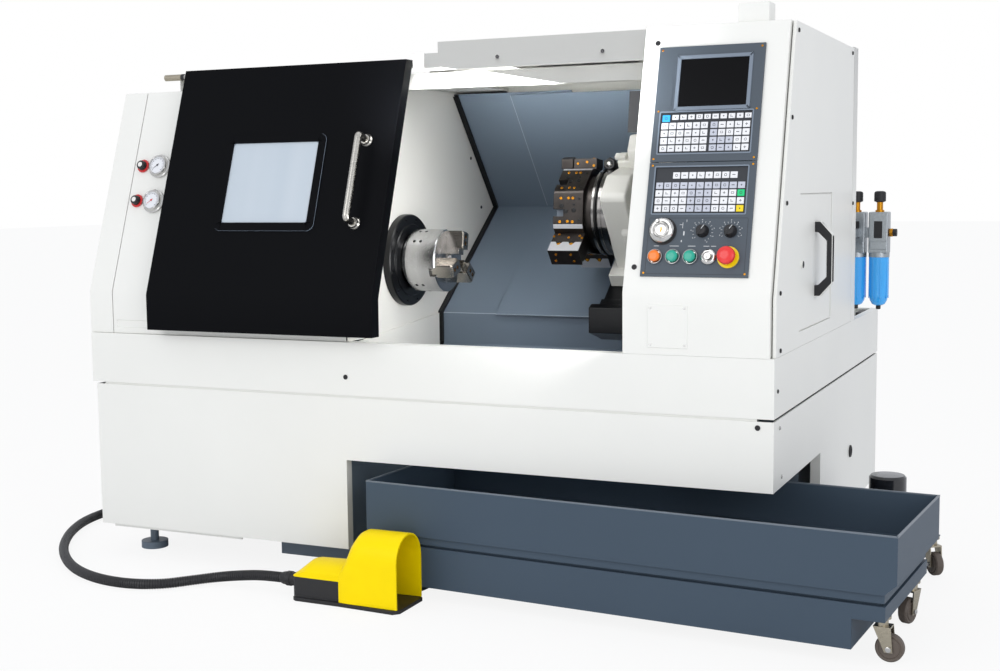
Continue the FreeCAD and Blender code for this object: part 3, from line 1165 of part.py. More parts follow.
def pedal():
    """Clamping pedal: black base with its switch box, yellow hood and the treadle inside."""
    base = new_body("pedal_base")
    pad(base, "XY", "0", "pedal_plate", rect("0", "0", "pedal_long", "pedal_wide"))
    pad(base, "XY", "pedal_plate - 1", "pedal_body - 12",
        rect("0", "hood_skin + 0.5", "hood_left - 1", "pedal_wide - hood_skin - 0.5"))
    pad(base, "YZ", "-(gland_long)", "1", circle("pedal_wide / 2", "gland_z", "conduit_r + 4"))
    node("pedal_base", base, PEDAL)

    hood = new_body("pedal_hood")
    side = [("0", "pedal_body - 20"), ("8", "pedal_body"), ("24", "pedal_body + 10"), ("hood_left", "pedal_body + 14"),
            ("hood_left + 28", "hood_tall - 34"), ("hood_left + 62", "hood_tall"),
            ("pedal_long - 34", "hood_tall - 6"), ("pedal_long - 4", "pedal_plate + 0.3"),
            ("hood_left", "pedal_plate + 0.3"), ("hood_left", "pedal_body - 20")]
    pad(hood, "XZ", "0", "pedal_wide", side)
    hollow = [("hood_left + hood_skin", "pedal_plate - 1"), ("hood_left + hood_skin", "pedal_body + 6"),
              ("hood_left + 34", "hood_tall - 36"), ("hood_left + 65", "hood_tall - hood_skin"),
              ("pedal_long + 5", "hood_tall - hood_skin"), ("pedal_long + 5", "pedal_plate - 1")]
    pocket(hood, "XZ", "hood_skin", "pedal_wide - hood_skin", hollow)
    pocket(hood, "XZ", "hood_skin", "pedal_wide - hood_skin",
           [("hood_skin", "pedal_body - 22"), ("hood_skin", "pedal_body - 11.7"), ("hood_left - 1", "pedal_body - 11.7"),
            ("hood_left - 1", "pedal_body - 22")])
    pocket(hood, "XY", "pedal_plate", "pedal_body - 11",
           rect("-1", "hood_skin", "hood_left + hood_skin + 1", "pedal_wide - hood_skin"))
    doc.recompute()
    hood_edges = rounded_top(hood)
    node("pedal_hood", hood_edges, PEDAL)

    treadle = new_body("pedal_treadle")
    pad(treadle, "XZ", "26", "pedal_wide - 26",
        [("hood_left + 12", "pedal_plate + 24"), ("hood_left + 12", "pedal_plate + 34"),
         ("pedal_long - 42", "pedal_plate + 48"), ("pedal_long - 34", "pedal_plate + 44"),
         ("pedal_long - 36", "pedal_plate + 40"), ("hood_left + 40", "pedal_plate + 27")])
    pad(treadle, "XZ", "hood_skin + 0.3", "pedal_wide - hood_skin - 0.3",
        circle("hood_left + 20", "pedal_plate + 28", "5.5"))
    node("pedal_treadle", treadle, PEDAL)


def rounded_top(body):
    """Rounds the long edges over the hood's crown."""
    crown = [i for i, e in enumerate(body.Shape.Edges, start=1)
             if is_crown_edge(e)]
    feature = body.newObject("PartDesign::Fillet", "crown")
    feature.Base = (body.Tip, ["Edge%d" % i for i in crown])
    feature.Radius = 22
    doc.recompute()
    if "Invalid" in feature.State or not feature.Shape.isValid():
        body.removeObject(feature)
        doc.removeObject(feature.Name)
        doc.recompute()
    return body


def is_crown_edge(edge):
    middle = edge.BoundBox.Center
    on_side = min(abs(middle.y), abs(middle.y - size("pedal_wide"))) < 0.01
    return on_side and middle.z > size("hood_tall") - 60 and edge.BoundBox.YLength < 0.01


# Route of the conduit: out of the gland on the left side of the base, down to the floor,
# round in front of the machine in one wide bend and into the gland of the pedal.
ROUTE = [(-100, 420, 120), (-152, 420, 120), (-214, 404, 102), (-276, 366, 72), (-328, 306, 42),
         (-364, 234, 21), (-376, 160, 14), (-346, 68, 14), (-284, -48, 14), (-184, -182, 14),
         (-44, -308, 14), (88, -374, 14), (208, -389, 14), (300, -358, 14), (352, -300, 15),
         (412, -258, 20), (484, -252, 30), (550, -255.5, 38), (606, -255.5, 38)]


def conduit():
    """Ribbed steel conduit from the base to the pedal."""
    points = [V(*p) for p in ROUTE]
    wire, radii = rounded_path(points)
    tube = tube_along(wire, size("conduit_r"), points[1] - points[0])
    expected = math.pi * size("conduit_r") ** 2 * wire.Length
    print("conduit: length %.0f, tightest radius %.0f, volume / (section x length) %.4f"
          % (wire.Length, min(radii), tube.Volume / expected))
    print("conduit radii", " ".join("%.0f" % r for r in radii))
    feature = doc.addObject("Part::Feature", "conduit")
    feature.Shape = tube
    node("conduit", feature)


# ============================ build and write ============================

for make in (base_cabinet, base_frame, levelling_feet, coolant_band, left_end_cover, gauge_cover,
             roof_cover, operator_box, right_side_cover, headstock_wall, chip_guard, slant_bed,
             headstock, spindle_flange, spindle_shaft, chuck_body, chuck_jaws, belt_drive,
             saddle, way_cover, cross_cover, turret_housing, turret_disc, tool_holders, door_panel,
             door_window, door_handle, control_plates, screen, keypads, panel_controls, access_door,
             pressure_gauges, gauge_knobs, air_unit, chip_tray, coolant_tank, coolant_pump, casters,
             pedal, conduit):
    make()

doc.recompute()
for thing in doc.Objects:
    if "Invalid" in thing.State or "Error" in thing.State:
        raise SystemExit("%s (%s) did not compute" % (thing.Label, thing.Name))
for name, thing in NODES.items():
    if thing.Shape.isNull() or not thing.Shape.isValid() or thing.Shape.Volume <= 0:
        raise SystemExit("%s has no valid solid" % name)

os.makedirs("parts", exist_ok=True)
for name, thing in NODES.items():
    thing.Shape.exportStep(os.path.join("parts", name + ".step"))
print("%d nodes written" % len(NODES))
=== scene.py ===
import json
import math

import bmesh
import bpy
from mathutils import Matrix, Vector


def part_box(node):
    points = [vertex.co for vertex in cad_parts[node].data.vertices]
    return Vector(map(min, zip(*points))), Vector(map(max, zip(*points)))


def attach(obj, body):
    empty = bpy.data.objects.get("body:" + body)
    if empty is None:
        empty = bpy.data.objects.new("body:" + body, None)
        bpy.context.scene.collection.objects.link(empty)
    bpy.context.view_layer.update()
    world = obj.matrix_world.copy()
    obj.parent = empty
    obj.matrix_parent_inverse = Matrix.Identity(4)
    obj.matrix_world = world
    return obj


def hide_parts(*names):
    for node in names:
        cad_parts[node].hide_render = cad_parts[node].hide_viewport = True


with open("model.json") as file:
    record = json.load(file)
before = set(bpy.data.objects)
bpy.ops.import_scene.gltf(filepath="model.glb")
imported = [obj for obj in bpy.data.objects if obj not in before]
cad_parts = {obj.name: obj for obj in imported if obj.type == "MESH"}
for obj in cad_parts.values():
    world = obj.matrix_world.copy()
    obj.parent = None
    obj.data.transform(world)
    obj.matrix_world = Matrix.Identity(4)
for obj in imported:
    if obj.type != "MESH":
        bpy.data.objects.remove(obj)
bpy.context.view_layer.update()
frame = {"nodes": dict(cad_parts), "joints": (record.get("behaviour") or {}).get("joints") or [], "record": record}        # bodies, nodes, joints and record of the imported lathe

# A slant-bed turning lathe: folded sheet casing in warm white, slate tank and guards, black
# sliding door, ground chuck, blackened turret, yellow pedal hood on a ribbed conduit.
# Sizes inside the modelling functions are millimetres; fit() brings them to metres.

MM = 0.001
BODY_OF = {n: b for b, names in frame["record"]["behaviour"]["bodies"].items() for n in names}

bpy.ops.object.select_all(action="DESELECT")


# ============================ frames of the faces ============================

def leaning(y, z, slope):
    """Frame on a face that leans back: x along +X, y up the face, z out of it."""
    return Matrix.Translation((0, y, z)) @ Matrix.Rotation(math.pi / 2 - math.atan(slope), 4, "X")


def facing_right(x):
    """Frame on an upright face looking along +X: x to the rear, y up, z out of it."""
    return Matrix(((0, 0, 1, x), (1, 0, 0, 0), (0, 1, 0, 0), (0, 0, 0, 1)))


def shift(x, y, z):
    """A move in millimetres."""
    return Matrix.Translation((x * MM, y * MM, z * MM))


def spun(axis, degrees):
    return Matrix.Rotation(math.radians(degrees), 4, axis)


FRONT = leaning(-0.120, 0, 0)
PANEL = leaning(-0.120, 0.778, 0.29)
COVER = leaning(-0.112, 0.751, 0.34)
DOOR = leaning(-0.170, 0.750, 0.345)
SIDE = facing_right(1.840)
WALL = facing_right(0.728)
ALONG_X = facing_right(0)
BED = shift(0, 419, 668) @ spun("X", 36.893)
TANK = shift(2139, -274, 0) @ spun("Z", -4.07)
SPINDLE = shift(0, 210, 831)
TURRET = BED @ shift(0, 143, 256)
DISC = TURRET @ spun("X", 3)
PEDAL = shift(668, -252, 0)
PANEL_RISE = (778, 0.29)         # foot of the leaning face in millimetres, and its slope
DOOR_RISE = (750, 0.345)


def up_face(height, foot, slope):
    """Way up a leaning face, from its foot to a height."""
    return (height - foot) * (1 + slope ** 2) ** 0.5


def placed(name, data):
    """A new object in the scene."""
    thing = bpy.data.objects.new(name, data)
    bpy.context.scene.collection.objects.link(thing)
    return thing


# ============================ camera ============================

def camera():
    """Camera at the photograph's place: 50 mm lens, turned, tipped down and a little rolled."""
    yaw, pitch, roll = math.radians(24.23), math.radians(5.98), math.radians(-0.63)
    focal, frame_width = 1390.1, 1000
    ahead = Vector((-math.sin(yaw) * math.cos(pitch), math.cos(yaw) * math.cos(pitch), -math.sin(pitch)))
    right = Vector((math.cos(yaw), math.sin(yaw), 0))
    up = right.cross(ahead)
    side = right * math.cos(roll) + up * math.sin(roll)
    top = up * math.cos(roll) - right * math.sin(roll)
    data = bpy.data.cameras.new("camera")
    data.sensor_width = 36
    data.lens = focal / frame_width * data.sensor_width
    data.clip_end = 60
    thing = placed("camera", data)
    turn = Matrix((side, top, -ahead)).transposed().to_4x4()
    thing.matrix_world = Matrix.Translation((2.5512, -3.2032, 1.0215)) @ turn
    bpy.context.scene.camera = thing


camera()


# ============================ shader wiring ============================

class Wire:
    """An output socket whose arithmetic adds Math nodes."""

    def __init__(self, finish, socket):
        self.finish = finish
        self.socket = socket

    def _math(self, operation, *values):
        return self.finish.node("ShaderNodeMath", {"operation": operation}, dict(enumerate(values)))

    def __add__(self, other):
        return self._math("ADD", self, other)

    def __sub__(self, other):
        return self._math("SUBTRACT", self, other)

    def __rsub__(self, other):
        return self._math("SUBTRACT", other, self)

    def __mul__(self, other):
        return self._math("MULTIPLY", self, other)

    def __gt__(self, other):
        return self._math("GREATER_THAN", self, other)

    def __lt__(self, other):
        return self._math("LESS_THAN", self, other)

    def clamp(self):
        return self.finish.node("ShaderNodeClamp", {}, {0: self})

    __radd__ = __add__
    __rmul__ = __mul__


class Finish:
    """One procedural material while it is wired."""

    def __init__(self, name, **sockets):
        self.material = bpy.data.materials.new(name)
        self.material.use_nodes = True
        self.tree = self.material.node_tree
        self.shader = self.tree.nodes["Principled BSDF"]
        for words, value in sockets.items():
            self.shader.inputs[words.replace("_", " ")].default_value = value

    def node(self, kind, settings, inputs, output=0):
        """Adds one node: its settings first, then a value or a wire for each input."""
        added = self.tree.nodes.new(kind)
        for name, value in settings.items():
            setattr(added, name, value)
        for key, value in inputs.items():
            if isinstance(value, Wire):
                self.tree.links.new(value.socket, added.inputs[key])
            else:
                added.inputs[key].default_value = value
        return Wire(self, added.outputs[output])

    def place(self):
        return self.node("ShaderNodeTexCoord", {}, {}, "Object")

    def local(self, pose):
        """Object coordinates seen from one of the frames above, as (x, y, z) in metres."""
        back = pose.inverted()
        at = self.node("ShaderNodeMapping", {}, {"Vector": self.place(), "Location": back.to_translation(),
                                                 "Rotation": back.to_euler()})
        apart = self.node("ShaderNodeSeparateXYZ", {}, {0: at})
        return [Wire(self, apart.socket.node.outputs[k]) for k in range(3)]

    def noise(self, scale, detail=2.0, stretch=None, rough=0.5):
        at = self.place()
        if stretch is not None:
            at = self.node("ShaderNodeMapping", {}, {"Vector": at, "Scale": stretch})
        return self.node("ShaderNodeTexNoise", {}, {"Vector": at, "Scale": scale, "Detail": detail,
                                                    "Roughness": rough})

    def lines(self, along, scale, detail=2.0):
        """Noise that changes along one number only, such as turning marks."""
        return self.node("ShaderNodeTexNoise", {"noise_dimensions": "1D"},
                         {"W": along, "Scale": scale, "Detail": detail})

    def mix(self, factor, first, second):
        blend = self.node("ShaderNodeMix", {"data_type": "RGBA"}, {0: factor, 6: first, 7: second})
        return Wire(self, blend.socket.node.outputs[2])

    def bump(self, height, strength, distance):
        return self.node("ShaderNodeBump", {}, {"Height": height, "Strength": strength, "Distance": distance})

    def fed(self, name):
        """What already feeds one input of the shader."""
        return Wire(self, self.shader.inputs[name].links[0].from_socket)

    def set(self, **wires):
        for words, wire in wires.items():
            self.tree.links.new(wire.socket, self.shader.inputs[words.replace("_", " ")])
        return self


def tone(red, green, blue):
    """Colour as a screen shows it, 0 to 255, turned to the light it stands for."""
    return tuple(((c / 255 + 0.055) / 1.055) ** 2.4 if c > 10 else c / 255 / 12.92
                 for c in (red, green, blue)) + (1.0,)


def darker(colour, amount):
    return tuple(c * amount for c in colour[:3]) + (1.0,)


def painted(name, colour, roughness, peel=0.06, uneven=0.04, **sockets):
    """Powder coat: a little cloudiness, fine orange peel and an uneven sheen."""
    finish = Finish(name, **sockets)
    cloud = finish.noise(2.6, 3.0)
    peel_grain = finish.noise(520.0, 1.0)
    finish.set(Base_Color=finish.mix(cloud, darker(colour, 1 - uneven), darker(colour, 1 + uneven)),
               Roughness=roughness + (cloud - 0.5) * 0.12 + (peel_grain - 0.5) * 0.05,
               Normal=finish.bump(peel_grain, peel, 0.0005))
    return finish


def moulded(name, colour, roughness, **sockets):
    """Plastic or rubber with a fine matt grain."""
    finish = Finish(name, **sockets)
    grain = finish.noise(900.0, 2.0)
    cloud = finish.noise(14.0, 2.0)
    finish.set(Base_Color=finish.mix(cloud, darker(colour, 0.93), darker(colour, 1.07)),
               Roughness=roughness + (grain - 0.5) * 0.1,
               Normal=finish.bump(grain, 0.05, 0.0003))
    return finish


def machined(name, colour, roughness, pose, marks=1500.0, depth=0.12):
    """Turned or ground metal: fine lines round the piece's own x axis."""
    finish = Finish(name, Metallic=1.0)
    x, y, z = finish.local(pose)
    radius = finish.node("ShaderNodeMath", {"operation": "SQRT"}, {0: y * y + z * z})
    fine = finish.lines(x + radius, marks, 3.0)
    broad = finish.lines(x - radius, 34.0, 1.0)
    smear = finish.noise(22.0, 3.0)
    finish.set(Base_Color=finish.mix(broad * 0.6 + smear * 0.4, darker(colour, 0.74), darker(colour, 1.12)),
               Roughness=roughness + (smear - 0.5) * 0.16 + (fine - 0.5) * 0.1,
               Normal=finish.bump(fine, depth, 0.0004))
    return finish


def brushed(name, colour, roughness, stretch, **sockets):
    """Sheet or bar steel with a straight brushed grain."""
    finish = Finish(name, Metallic=1.0, **sockets)
    grain = finish.noise(40.0, 4.0, stretch)
    smear = finish.noise(9.0, 3.0)
    finish.set(Base_Color=finish.mix(grain, darker(colour, 0.8), darker(colour, 1.12)),
               Roughness=roughness + (grain - 0.5) * 0.14 + (smear - 0.5) * 0.12,
               Normal=finish.bump(grain, 0.08, 0.0004))
    return finish


WHITE = tone(236, 236, 231)
SLATE = tone(110, 123, 137)
STEEL = tone(196, 196, 196)
RAIL_AXIS = (0.101, 1.351, 0.0095)
SEAL_EDGE = 0.7435
CHUTE_BACK, CHUTE_TOP = 0.407, 0.668
GUARD_KNEE = 0.972
BOX_LEFT = 1.4785


def guard_paint(name, fold_low, fold_high, edge=0.0):
    """Slate guard paint: black seal at the headstock wall, white chute end, painted highlight at fold and edge."""
    finish = painted(name, SLATE, 0.38, uneven=0.07, Specular_IOR_Level=0.3)
    x, y, z = finish.local(Matrix.Identity(4))
    seal = x < SEAL_EDGE
    chute_end = seal * (y < CHUTE_BACK) * (z < CHUTE_TOP)
    # painted highlight: a bright line along the fold and along the cover's joint edge, where light catches them
    painted_highlight = (z > fold_low) * (z < fold_high) * 0.7 + (x < edge) * (z > GUARD_KNEE) * 0.5
    coloured = finish.mix(painted_highlight, finish.fed("Base Color"), tone(186, 196, 208))
    coloured = finish.mix(seal, coloured, tone(14, 15, 17))
    return finish.set(Base_Color=finish.mix(chute_end, coloured, tone(226, 225, 219)))


def roof_paint():
    """White paint of the roof; the round door rail under it is bright steel."""
    finish = painted("roof_paint", WHITE, 0.36)
    _, y, z = finish.local(Matrix.Identity(4))
    rail_y, rail_z, reach = RAIL_AXIS
    off_y, off_z = y - rail_y, z - rail_z
    rail = (off_y * off_y + off_z * off_z) < reach * reach
    finish.set(Base_Color=finish.mix(rail, finish.fed("Base Color"), tone(178, 176, 172)), Metallic=rail,
               Roughness=finish.fed("Roughness") - rail * 0.12)
    return finish


def box_paint():
    """White paint of the operator box; the work lamp on its left wall is black."""
    finish = painted("box_paint", WHITE, 0.36)
    x, _, _ = finish.local(Matrix.Identity(4))
    return finish.set(Base_Color=finish.mix(x < BOX_LEFT, finish.fed("Base Color"), tone(22, 23, 26)))


def turret_black():
    """Blackened and oiled steel with brownish smears."""
    finish = Finish("turret_black", Metallic=0.85)
    smear = finish.noise(26.0, 4.0)
    fine = finish.noise(60.0, 3.0, (1.0, 14.0, 14.0))
    finish.set(Base_Color=finish.mix(smear, tone(34, 32, 31), tone(72, 67, 64)),
               Roughness=0.34 + (smear - 0.5) * 0.2 + (fine - 0.5) * 0.12,
               Normal=finish.bump(fine, 0.1, 0.0005))
    return finish


def window_pane():
    """Laminated pane: pale blue, half clear, with the soft shade of what stands behind it."""
    finish = Finish("window_pane", Roughness=0.12, Alpha=0.72, Coat_Weight=0.6)
    x, _, _ = finish.local(DOOR)
    shade = finish.lines(x, 7.0, 2.0)
    finish.set(Base_Color=finish.mix((shade * 1.3 - 0.15).clamp(), tone(203, 216, 227), tone(222, 231, 239)))
    return finish


PAINT = {
    "white": painted("casing_white", WHITE, 0.36),
    "wall": painted("wall_white", tone(226, 225, 219), 0.34),
    "roof": roof_paint(),
    "box": box_paint(),
    "slate": painted("slate_paint", tone(104, 117, 130), 0.38, uneven=0.05),
    "rim": painted("rim_slate", tone(104, 114, 124), 0.34, peel=0.05, uneven=0.08),
    "guard": guard_paint("guard_paint", 0.6668, 0.6690),
    "cover": guard_paint("cover_paint", 0.6640, 0.6696, 0.9172),
    "tank": painted("tank_paint", tone(68, 82, 96), 0.46, peel=0.08, uneven=0.06, Specular_IOR_Level=0.2),
    "plate": painted("plate_slate", tone(70, 80, 90), 0.46, peel=0.14, uneven=0.05),
    "door": painted("door_black", tone(9, 10, 13), 0.5, peel=0.05, uneven=0.08, Specular_IOR_Level=0.05),
    "cast": painted("cast_white", tone(214, 213, 206), 0.4, peel=0.3, uneven=0.05),
    "iron": painted("cast_iron_grey", tone(120, 124, 124), 0.55, peel=0.4, uneven=0.1),
    "black_metal": painted("black_metal", tone(15, 16, 18), 0.3, peel=0.06, uneven=0.1, Specular_IOR_Level=0.32),
    "spindle": machined("spindle_steel", STEEL, 0.24, SPINDLE),
    "chuck": machined("chuck_steel", tone(198, 198, 199), 0.24, SPINDLE, 1300.0, 0.1),
    "jaw": brushed("jaw_steel", tone(186, 180, 172), 0.24, (1.0, 9.0, 9.0)),
    "ring": machined("ring_steel", tone(128, 126, 124), 0.16, TURRET, 900.0, 0.12),
    "turret": turret_black(),
    # ground steel: its own light grey, made mostly diffuse so that the bright reflection of the ground faces is
    # painted into its colour
    "ground": moulded("ground_steel_painted_sheen", tone(190, 191, 195), 0.3, Metallic=0.35),
    "stainless": brushed("stainless_bar", tone(192, 189, 182), 0.28, (1.0, 1.0, 7.0)),
    "zinc": brushed("zinc_plate", tone(178, 170, 152), 0.3, (2.0, 2.0, 8.0)),
    "brass": brushed("brass", tone(205, 142, 40), 0.28, (3.0, 3.0, 3.0)),
    "chrome": brushed("bright_chrome", tone(205, 204, 202), 0.12, (3.0, 3.0, 3.0)),
    "pane": window_pane(),
    "black": moulded("black_plastic", tone(27, 27, 30), 0.5),
    "rubber": moulded("black_rubber", tone(30, 30, 32), 0.62),
    "hose": moulded("conduit_sheath", tone(34, 34, 37), 0.38),
    "tyre": moulded("grey_tyre", tone(96, 86, 78), 0.55),
    "yellow": moulded("hood_yellow", tone(252, 222, 0), 0.4, Specular_IOR_Level=0.12),
    "key": moulded("key_white", tone(236, 237, 240), 0.5),
    "key_grey": moulded("key_grey", tone(196, 200, 212), 0.5),
    "cyan": moulded("key_cyan", tone(45, 170, 240), 0.45),
    "key_green": moulded("key_green", tone(0, 205, 125), 0.45),
    "key_yellow": moulded("key_yellow", tone(245, 215, 0), 0.45),
    "mark": moulded("key_mark", tone(52, 54, 60), 0.6),
    "print": moulded("dial_print", tone(205, 208, 210), 0.6),
    "field": moulded("keypad_field", tone(40, 44, 50), 0.5),
    "bezel": painted("screen_bezel", tone(118, 130, 144), 0.42),
    "screen": moulded("screen_black", tone(4, 4, 6), 0.22, Specular_IOR_Level=0.12),
    "orange": moulded("button_orange", tone(250, 125, 20), 0.3, Coat_Weight=0.4),
    "green": moulded("button_green", tone(12, 165, 140), 0.3, Coat_Weight=0.4),
    "red": moulded("button_red", tone(232, 42, 40), 0.32, Coat_Weight=0.4),
    "stop_yellow": moulded("stop_yellow", tone(250, 220, 0), 0.4),
    "dial_white": moulded("gauge_face", tone(232, 234, 238), 0.4, Coat_Weight=0.8),
    "knob_red": moulded("knob_red", tone(205, 25, 28), 0.35, Coat_Weight=0.4),
    "knob_white": moulded("knob_white", tone(232, 230, 226), 0.4),
    "silver": brushed("cast_silver", tone(176, 182, 186), 0.32, (4.0, 4.0, 4.0)),
    "bowl": moulded("bowl_blue", tone(62, 178, 255), 0.14, Coat_Weight=0.5),
    "terminal": moulded("terminal_grey", tone(212, 211, 206), 0.5),
    "pump": painted("pump_black", tone(24, 25, 29), 0.22, peel=0.1, Coat_Weight=0.5),
}


# ============================ modelling ============================

def only(thing):
    """Selects one object and makes it the active one."""
    if bpy.context.object is not None and bpy.context.object.mode != "OBJECT":
        bpy.ops.object.mode_set(mode="OBJECT")
    bpy.ops.object.select_all(action="DESELECT")
    thing.select_set(True)
    bpy.context.view_layer.objects.active = thing
    return thing


def open_mesh(thing):
    """Takes one object into edit mode with its whole mesh selected."""
    only(thing)
    bpy.ops.object.mode_set(mode="EDIT")
    bpy.ops.mesh.select_all(action="SELECT")


def close_mesh():
    bpy.ops.object.mode_set(mode="OBJECT")


def draw_out(length):
    """Draws the selected faces out along z."""
    bpy.ops.mesh.extrude_region_move(TRANSFORM_OT_translate={"value": (0, 0, length)})


def modified(thing, kind, **settings):
    """Adds one modifier with its settings and applies it."""
    only(thing)
    added = thing.modifiers.new(kind, kind)
    for name, value in settings.items():
        setattr(added, name, value)
    bpy.ops.object.modifier_apply(modifier=added.name)
    return thing


def bevelled(thing, width, segments=2, angle=30):
    """Rounds every sharp edge by a width in millimetres."""
    return modified(thing, "BEVEL", width=width, segments=segments, limit_method="ANGLE",
                    angle_limit=math.radians(angle), use_clamp_overlap=True)


def outward(thing):
    """Turns every face of a closed mesh outwards."""
    open_mesh(thing)
    bpy.ops.mesh.remove_doubles(threshold=0.001)
    bpy.ops.mesh.normals_make_consistent(inside=False)
    close_mesh()
    return thing


def turned(profile, sides=40):
    """Solid of revolution about z: a disc drawn up and resized ring by ring."""
    (height, radius), *rest = profile
    bpy.ops.mesh.primitive_circle_add(vertices=sides, radius=radius, fill_type="NGON", location=(0, 0, height))
    thing = bpy.context.object
    bpy.ops.object.transform_apply(location=True, rotation=True, scale=True)
    open_mesh(thing)
    for level, wide in rest:
        draw_out(level - height)
        bpy.ops.transform.resize(value=(wide / radius, wide / radius, 1), center_override=(0, 0, level))
        height, radius = level, wide
    close_mesh()
    return outward(thing)


def slab(low, high, rounding=0.0, segments=2):
    """Rectangular block between two corners, its edges rounded."""
    middle = [(a + b) / 2 for a, b in zip(low, high)]
    bpy.ops.mesh.primitive_cube_add(size=1, location=middle, scale=[b - a for a, b in zip(low, high)])
    thing = bpy.context.object
    bpy.ops.object.transform_apply(location=True, rotation=True, scale=True)
    return bevelled(thing, rounding, segments) if rounding else thing


def rounded_plate(left, low, right, high, corner, level, thick, hole=None, segments=6):
    """Flat plate with round corners, or with a hole a frame of the width given by hole."""
    bpy.ops.mesh.primitive_plane_add(size=1, location=((left + right) / 2, (low + high) / 2, level))
    thing = bpy.context.object
    thing.scale = (right - left, high - low, 1)
    bpy.ops.object.transform_apply(location=True, rotation=True, scale=True)
    open_mesh(thing)
    bpy.ops.mesh.bevel(offset=corner, segments=segments, affect="VERTICES")
    bpy.ops.mesh.select_all(action="SELECT")
    if hole:
        bpy.ops.mesh.inset(thickness=hole)
        bpy.ops.mesh.delete(type="FACE")
        bpy.ops.mesh.select_all(action="SELECT")
    draw_out(thick)
    close_mesh()
    return outward(thing)


def prism(outline, low, high):
    """Solid with a flat outline (x, y) drawn out along z."""
    mesh = bpy.data.meshes.new("outline")
    mesh.from_pydata([(x, y, low) for x, y in outline], [], [tuple(range(len(outline)))])
    thing = placed("outline", mesh)
    open_mesh(thing)
    draw_out(high - low)
    close_mesh()
    return outward(thing)


def across(outline, low, high):
    """Solid with a flat outline (x, z) drawn out along y."""
    return moved(prism(outline, -high, -low), spun("X", 90))


def cut_by(thing, cutter):
    """Takes one closed shape out of another."""
    modified(thing, "BOOLEAN", operation="DIFFERENCE", solver="EXACT", object=cutter)
    bpy.data.objects.remove(cutter)
    return thing


def rod_between(start, end, radius, sides=20):
    """Round bar from one point to another."""
    start, end = Vector(start), Vector(end)
    thing = turned([(0, radius), ((end - start).length, radius)], sides)
    thing.data.transform(Matrix.Translation(start) @ (end - start).to_track_quat("Z", "Y").to_matrix().to_4x4())
    return thing


def bent_tube(points, radius, sides=20, order=4):
    """Tube along a smooth curve through given control points."""
    curve = bpy.data.curves.new("tube", "CURVE")
    curve.dimensions = "3D"
    curve.bevel_depth = radius
    curve.bevel_resolution = sides // 4
    curve.use_fill_caps = True
    spline = curve.splines.new("NURBS")
    spline.points.add(len(points) - 1)
    for point, at in zip(spline.points, points):
        point.co = (*at, 1)
    spline.order_u = order
    spline.use_endpoint_u = True
    spline.resolution_u = 8
    thing = placed("tube", curve)
    only(thing)
    bpy.ops.object.convert(target="MESH")
    return outward(bpy.context.object)


def in_mm(pose):
    """A pose in metres, for a mesh that is still in millimetres."""
    at = pose.copy()
    at.translation = pose.translation / MM
    return at


def moved(thing, pose):
    thing.data.transform(in_mm(pose))
    return thing


def joined(things):
    """One mesh from several; the first keeps its name."""
    only(things[0])
    for other in things[1:]:
        other.select_set(True)
    if len(things) > 1:
        bpy.ops.object.join()
    return bpy.context.object


def repeated(thing, poses):
    """The same model at several poses, as one mesh; the pattern itself is used up."""
    merged = bmesh.new()
    for pose in poses:
        single = thing.data.copy()
        single.transform(in_mm(pose))
        merged.from_mesh(single)
        bpy.data.meshes.remove(single)
    merged.to_mesh(thing.data)
    merged.free()
    return thing


def fit(thing, name, paint, node, pose=None, smooth=32, body=None, instead=False):
    """Finishes a new piece: pose, metres, shading and material, on a CAD node's body or another one."""
    only(thing)
    thing.data.transform((pose or Matrix.Identity(4)) @ Matrix.Scale(MM, 4))
    thing.name = name
    thing.data.name = name
    bpy.ops.object.shade_smooth_by_angle(angle=math.radians(smooth))
    modified(thing, "WEIGHTED_NORMAL", keep_sharp=True)
    thing.data.materials.clear()
    thing.data.materials.append(PAINT[paint].material)
    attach(thing, body or BODY_OF[node])
    if instead:
        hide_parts(node)
    return thing


# ============================ folded and machined pieces of the frame ============================

def refined(node, paint, rounding):
    """The CAD piece with its coplanar facets merged and its folds and edges rounded."""
    source = frame["nodes"][node]
    thing = placed(node + "_finished", source.data.copy())
    thing.data.transform(Matrix.Scale(1 / MM, 4))
    open_mesh(thing)
    bpy.ops.mesh.remove_doubles(threshold=0.01)
    bpy.ops.mesh.dissolve_limited(angle_limit=math.radians(1.0))
    close_mesh()
    fit(bevelled(thing, rounding), node + "_finished", paint, node, instead=True)


FOLDED = {                      # node: paint, rounding in millimetres
    "base_cabinet": ("white", 1.8), "coolant_band": ("white", 1.8), "left_end_cover": ("white", 1.5),
    "gauge_cover": ("white", 1.5), "roof_cover": ("roof", 0.9), "operator_box": ("box", 1.8),
    "right_side_cover": ("white", 1.5), "access_door": ("white", 0.9), "headstock_wall": ("wall", 0.8),
    "chip_guard": ("guard", 0.8), "way_cover": ("cover", 0.9), "base_frame": ("slate", 2.5),
    "door_panel": ("door", 1.6), "spindle_flange": ("black_metal", 1.0),
    "chuck_body": ("chuck", 0.8), "chuck_jaw_1": ("jaw", 1.2), "chuck_jaw_2": ("jaw", 1.2),
    "chuck_jaw_3": ("jaw", 1.2), "levelling_feet": ("slate", 1.0), "coolant_pump": ("pump", 1.6),
}


def folded_pieces():
    for node, (paint, rounding) in FOLDED.items():
        refined(node, paint, rounding)
    for index in (1, 2, 3):
        refined("caster_fork_%d" % index, "zinc", 0.7)
        refined("caster_wheel_%d" % index, "tyre", 0.9)


def plain_nodes():
    """Pieces that keep their CAD form, most of them inside the casing, get a finish."""
    for node, paint in (("slant_bed", "iron"), ("headstock", "iron"), ("saddle", "iron"),
                        ("spindle_motor", "black_metal"), ("motor_pulley", "spindle"),
                        ("spindle_shaft", "spindle"), ("drive_belt", "rubber"), ("screen", "screen"),
                        ("control_plates", "plate")):
        data = frame["nodes"][node].data
        data.materials.clear()
        data.materials.append(PAINT[paint].material)


# ============================ conduit ============================

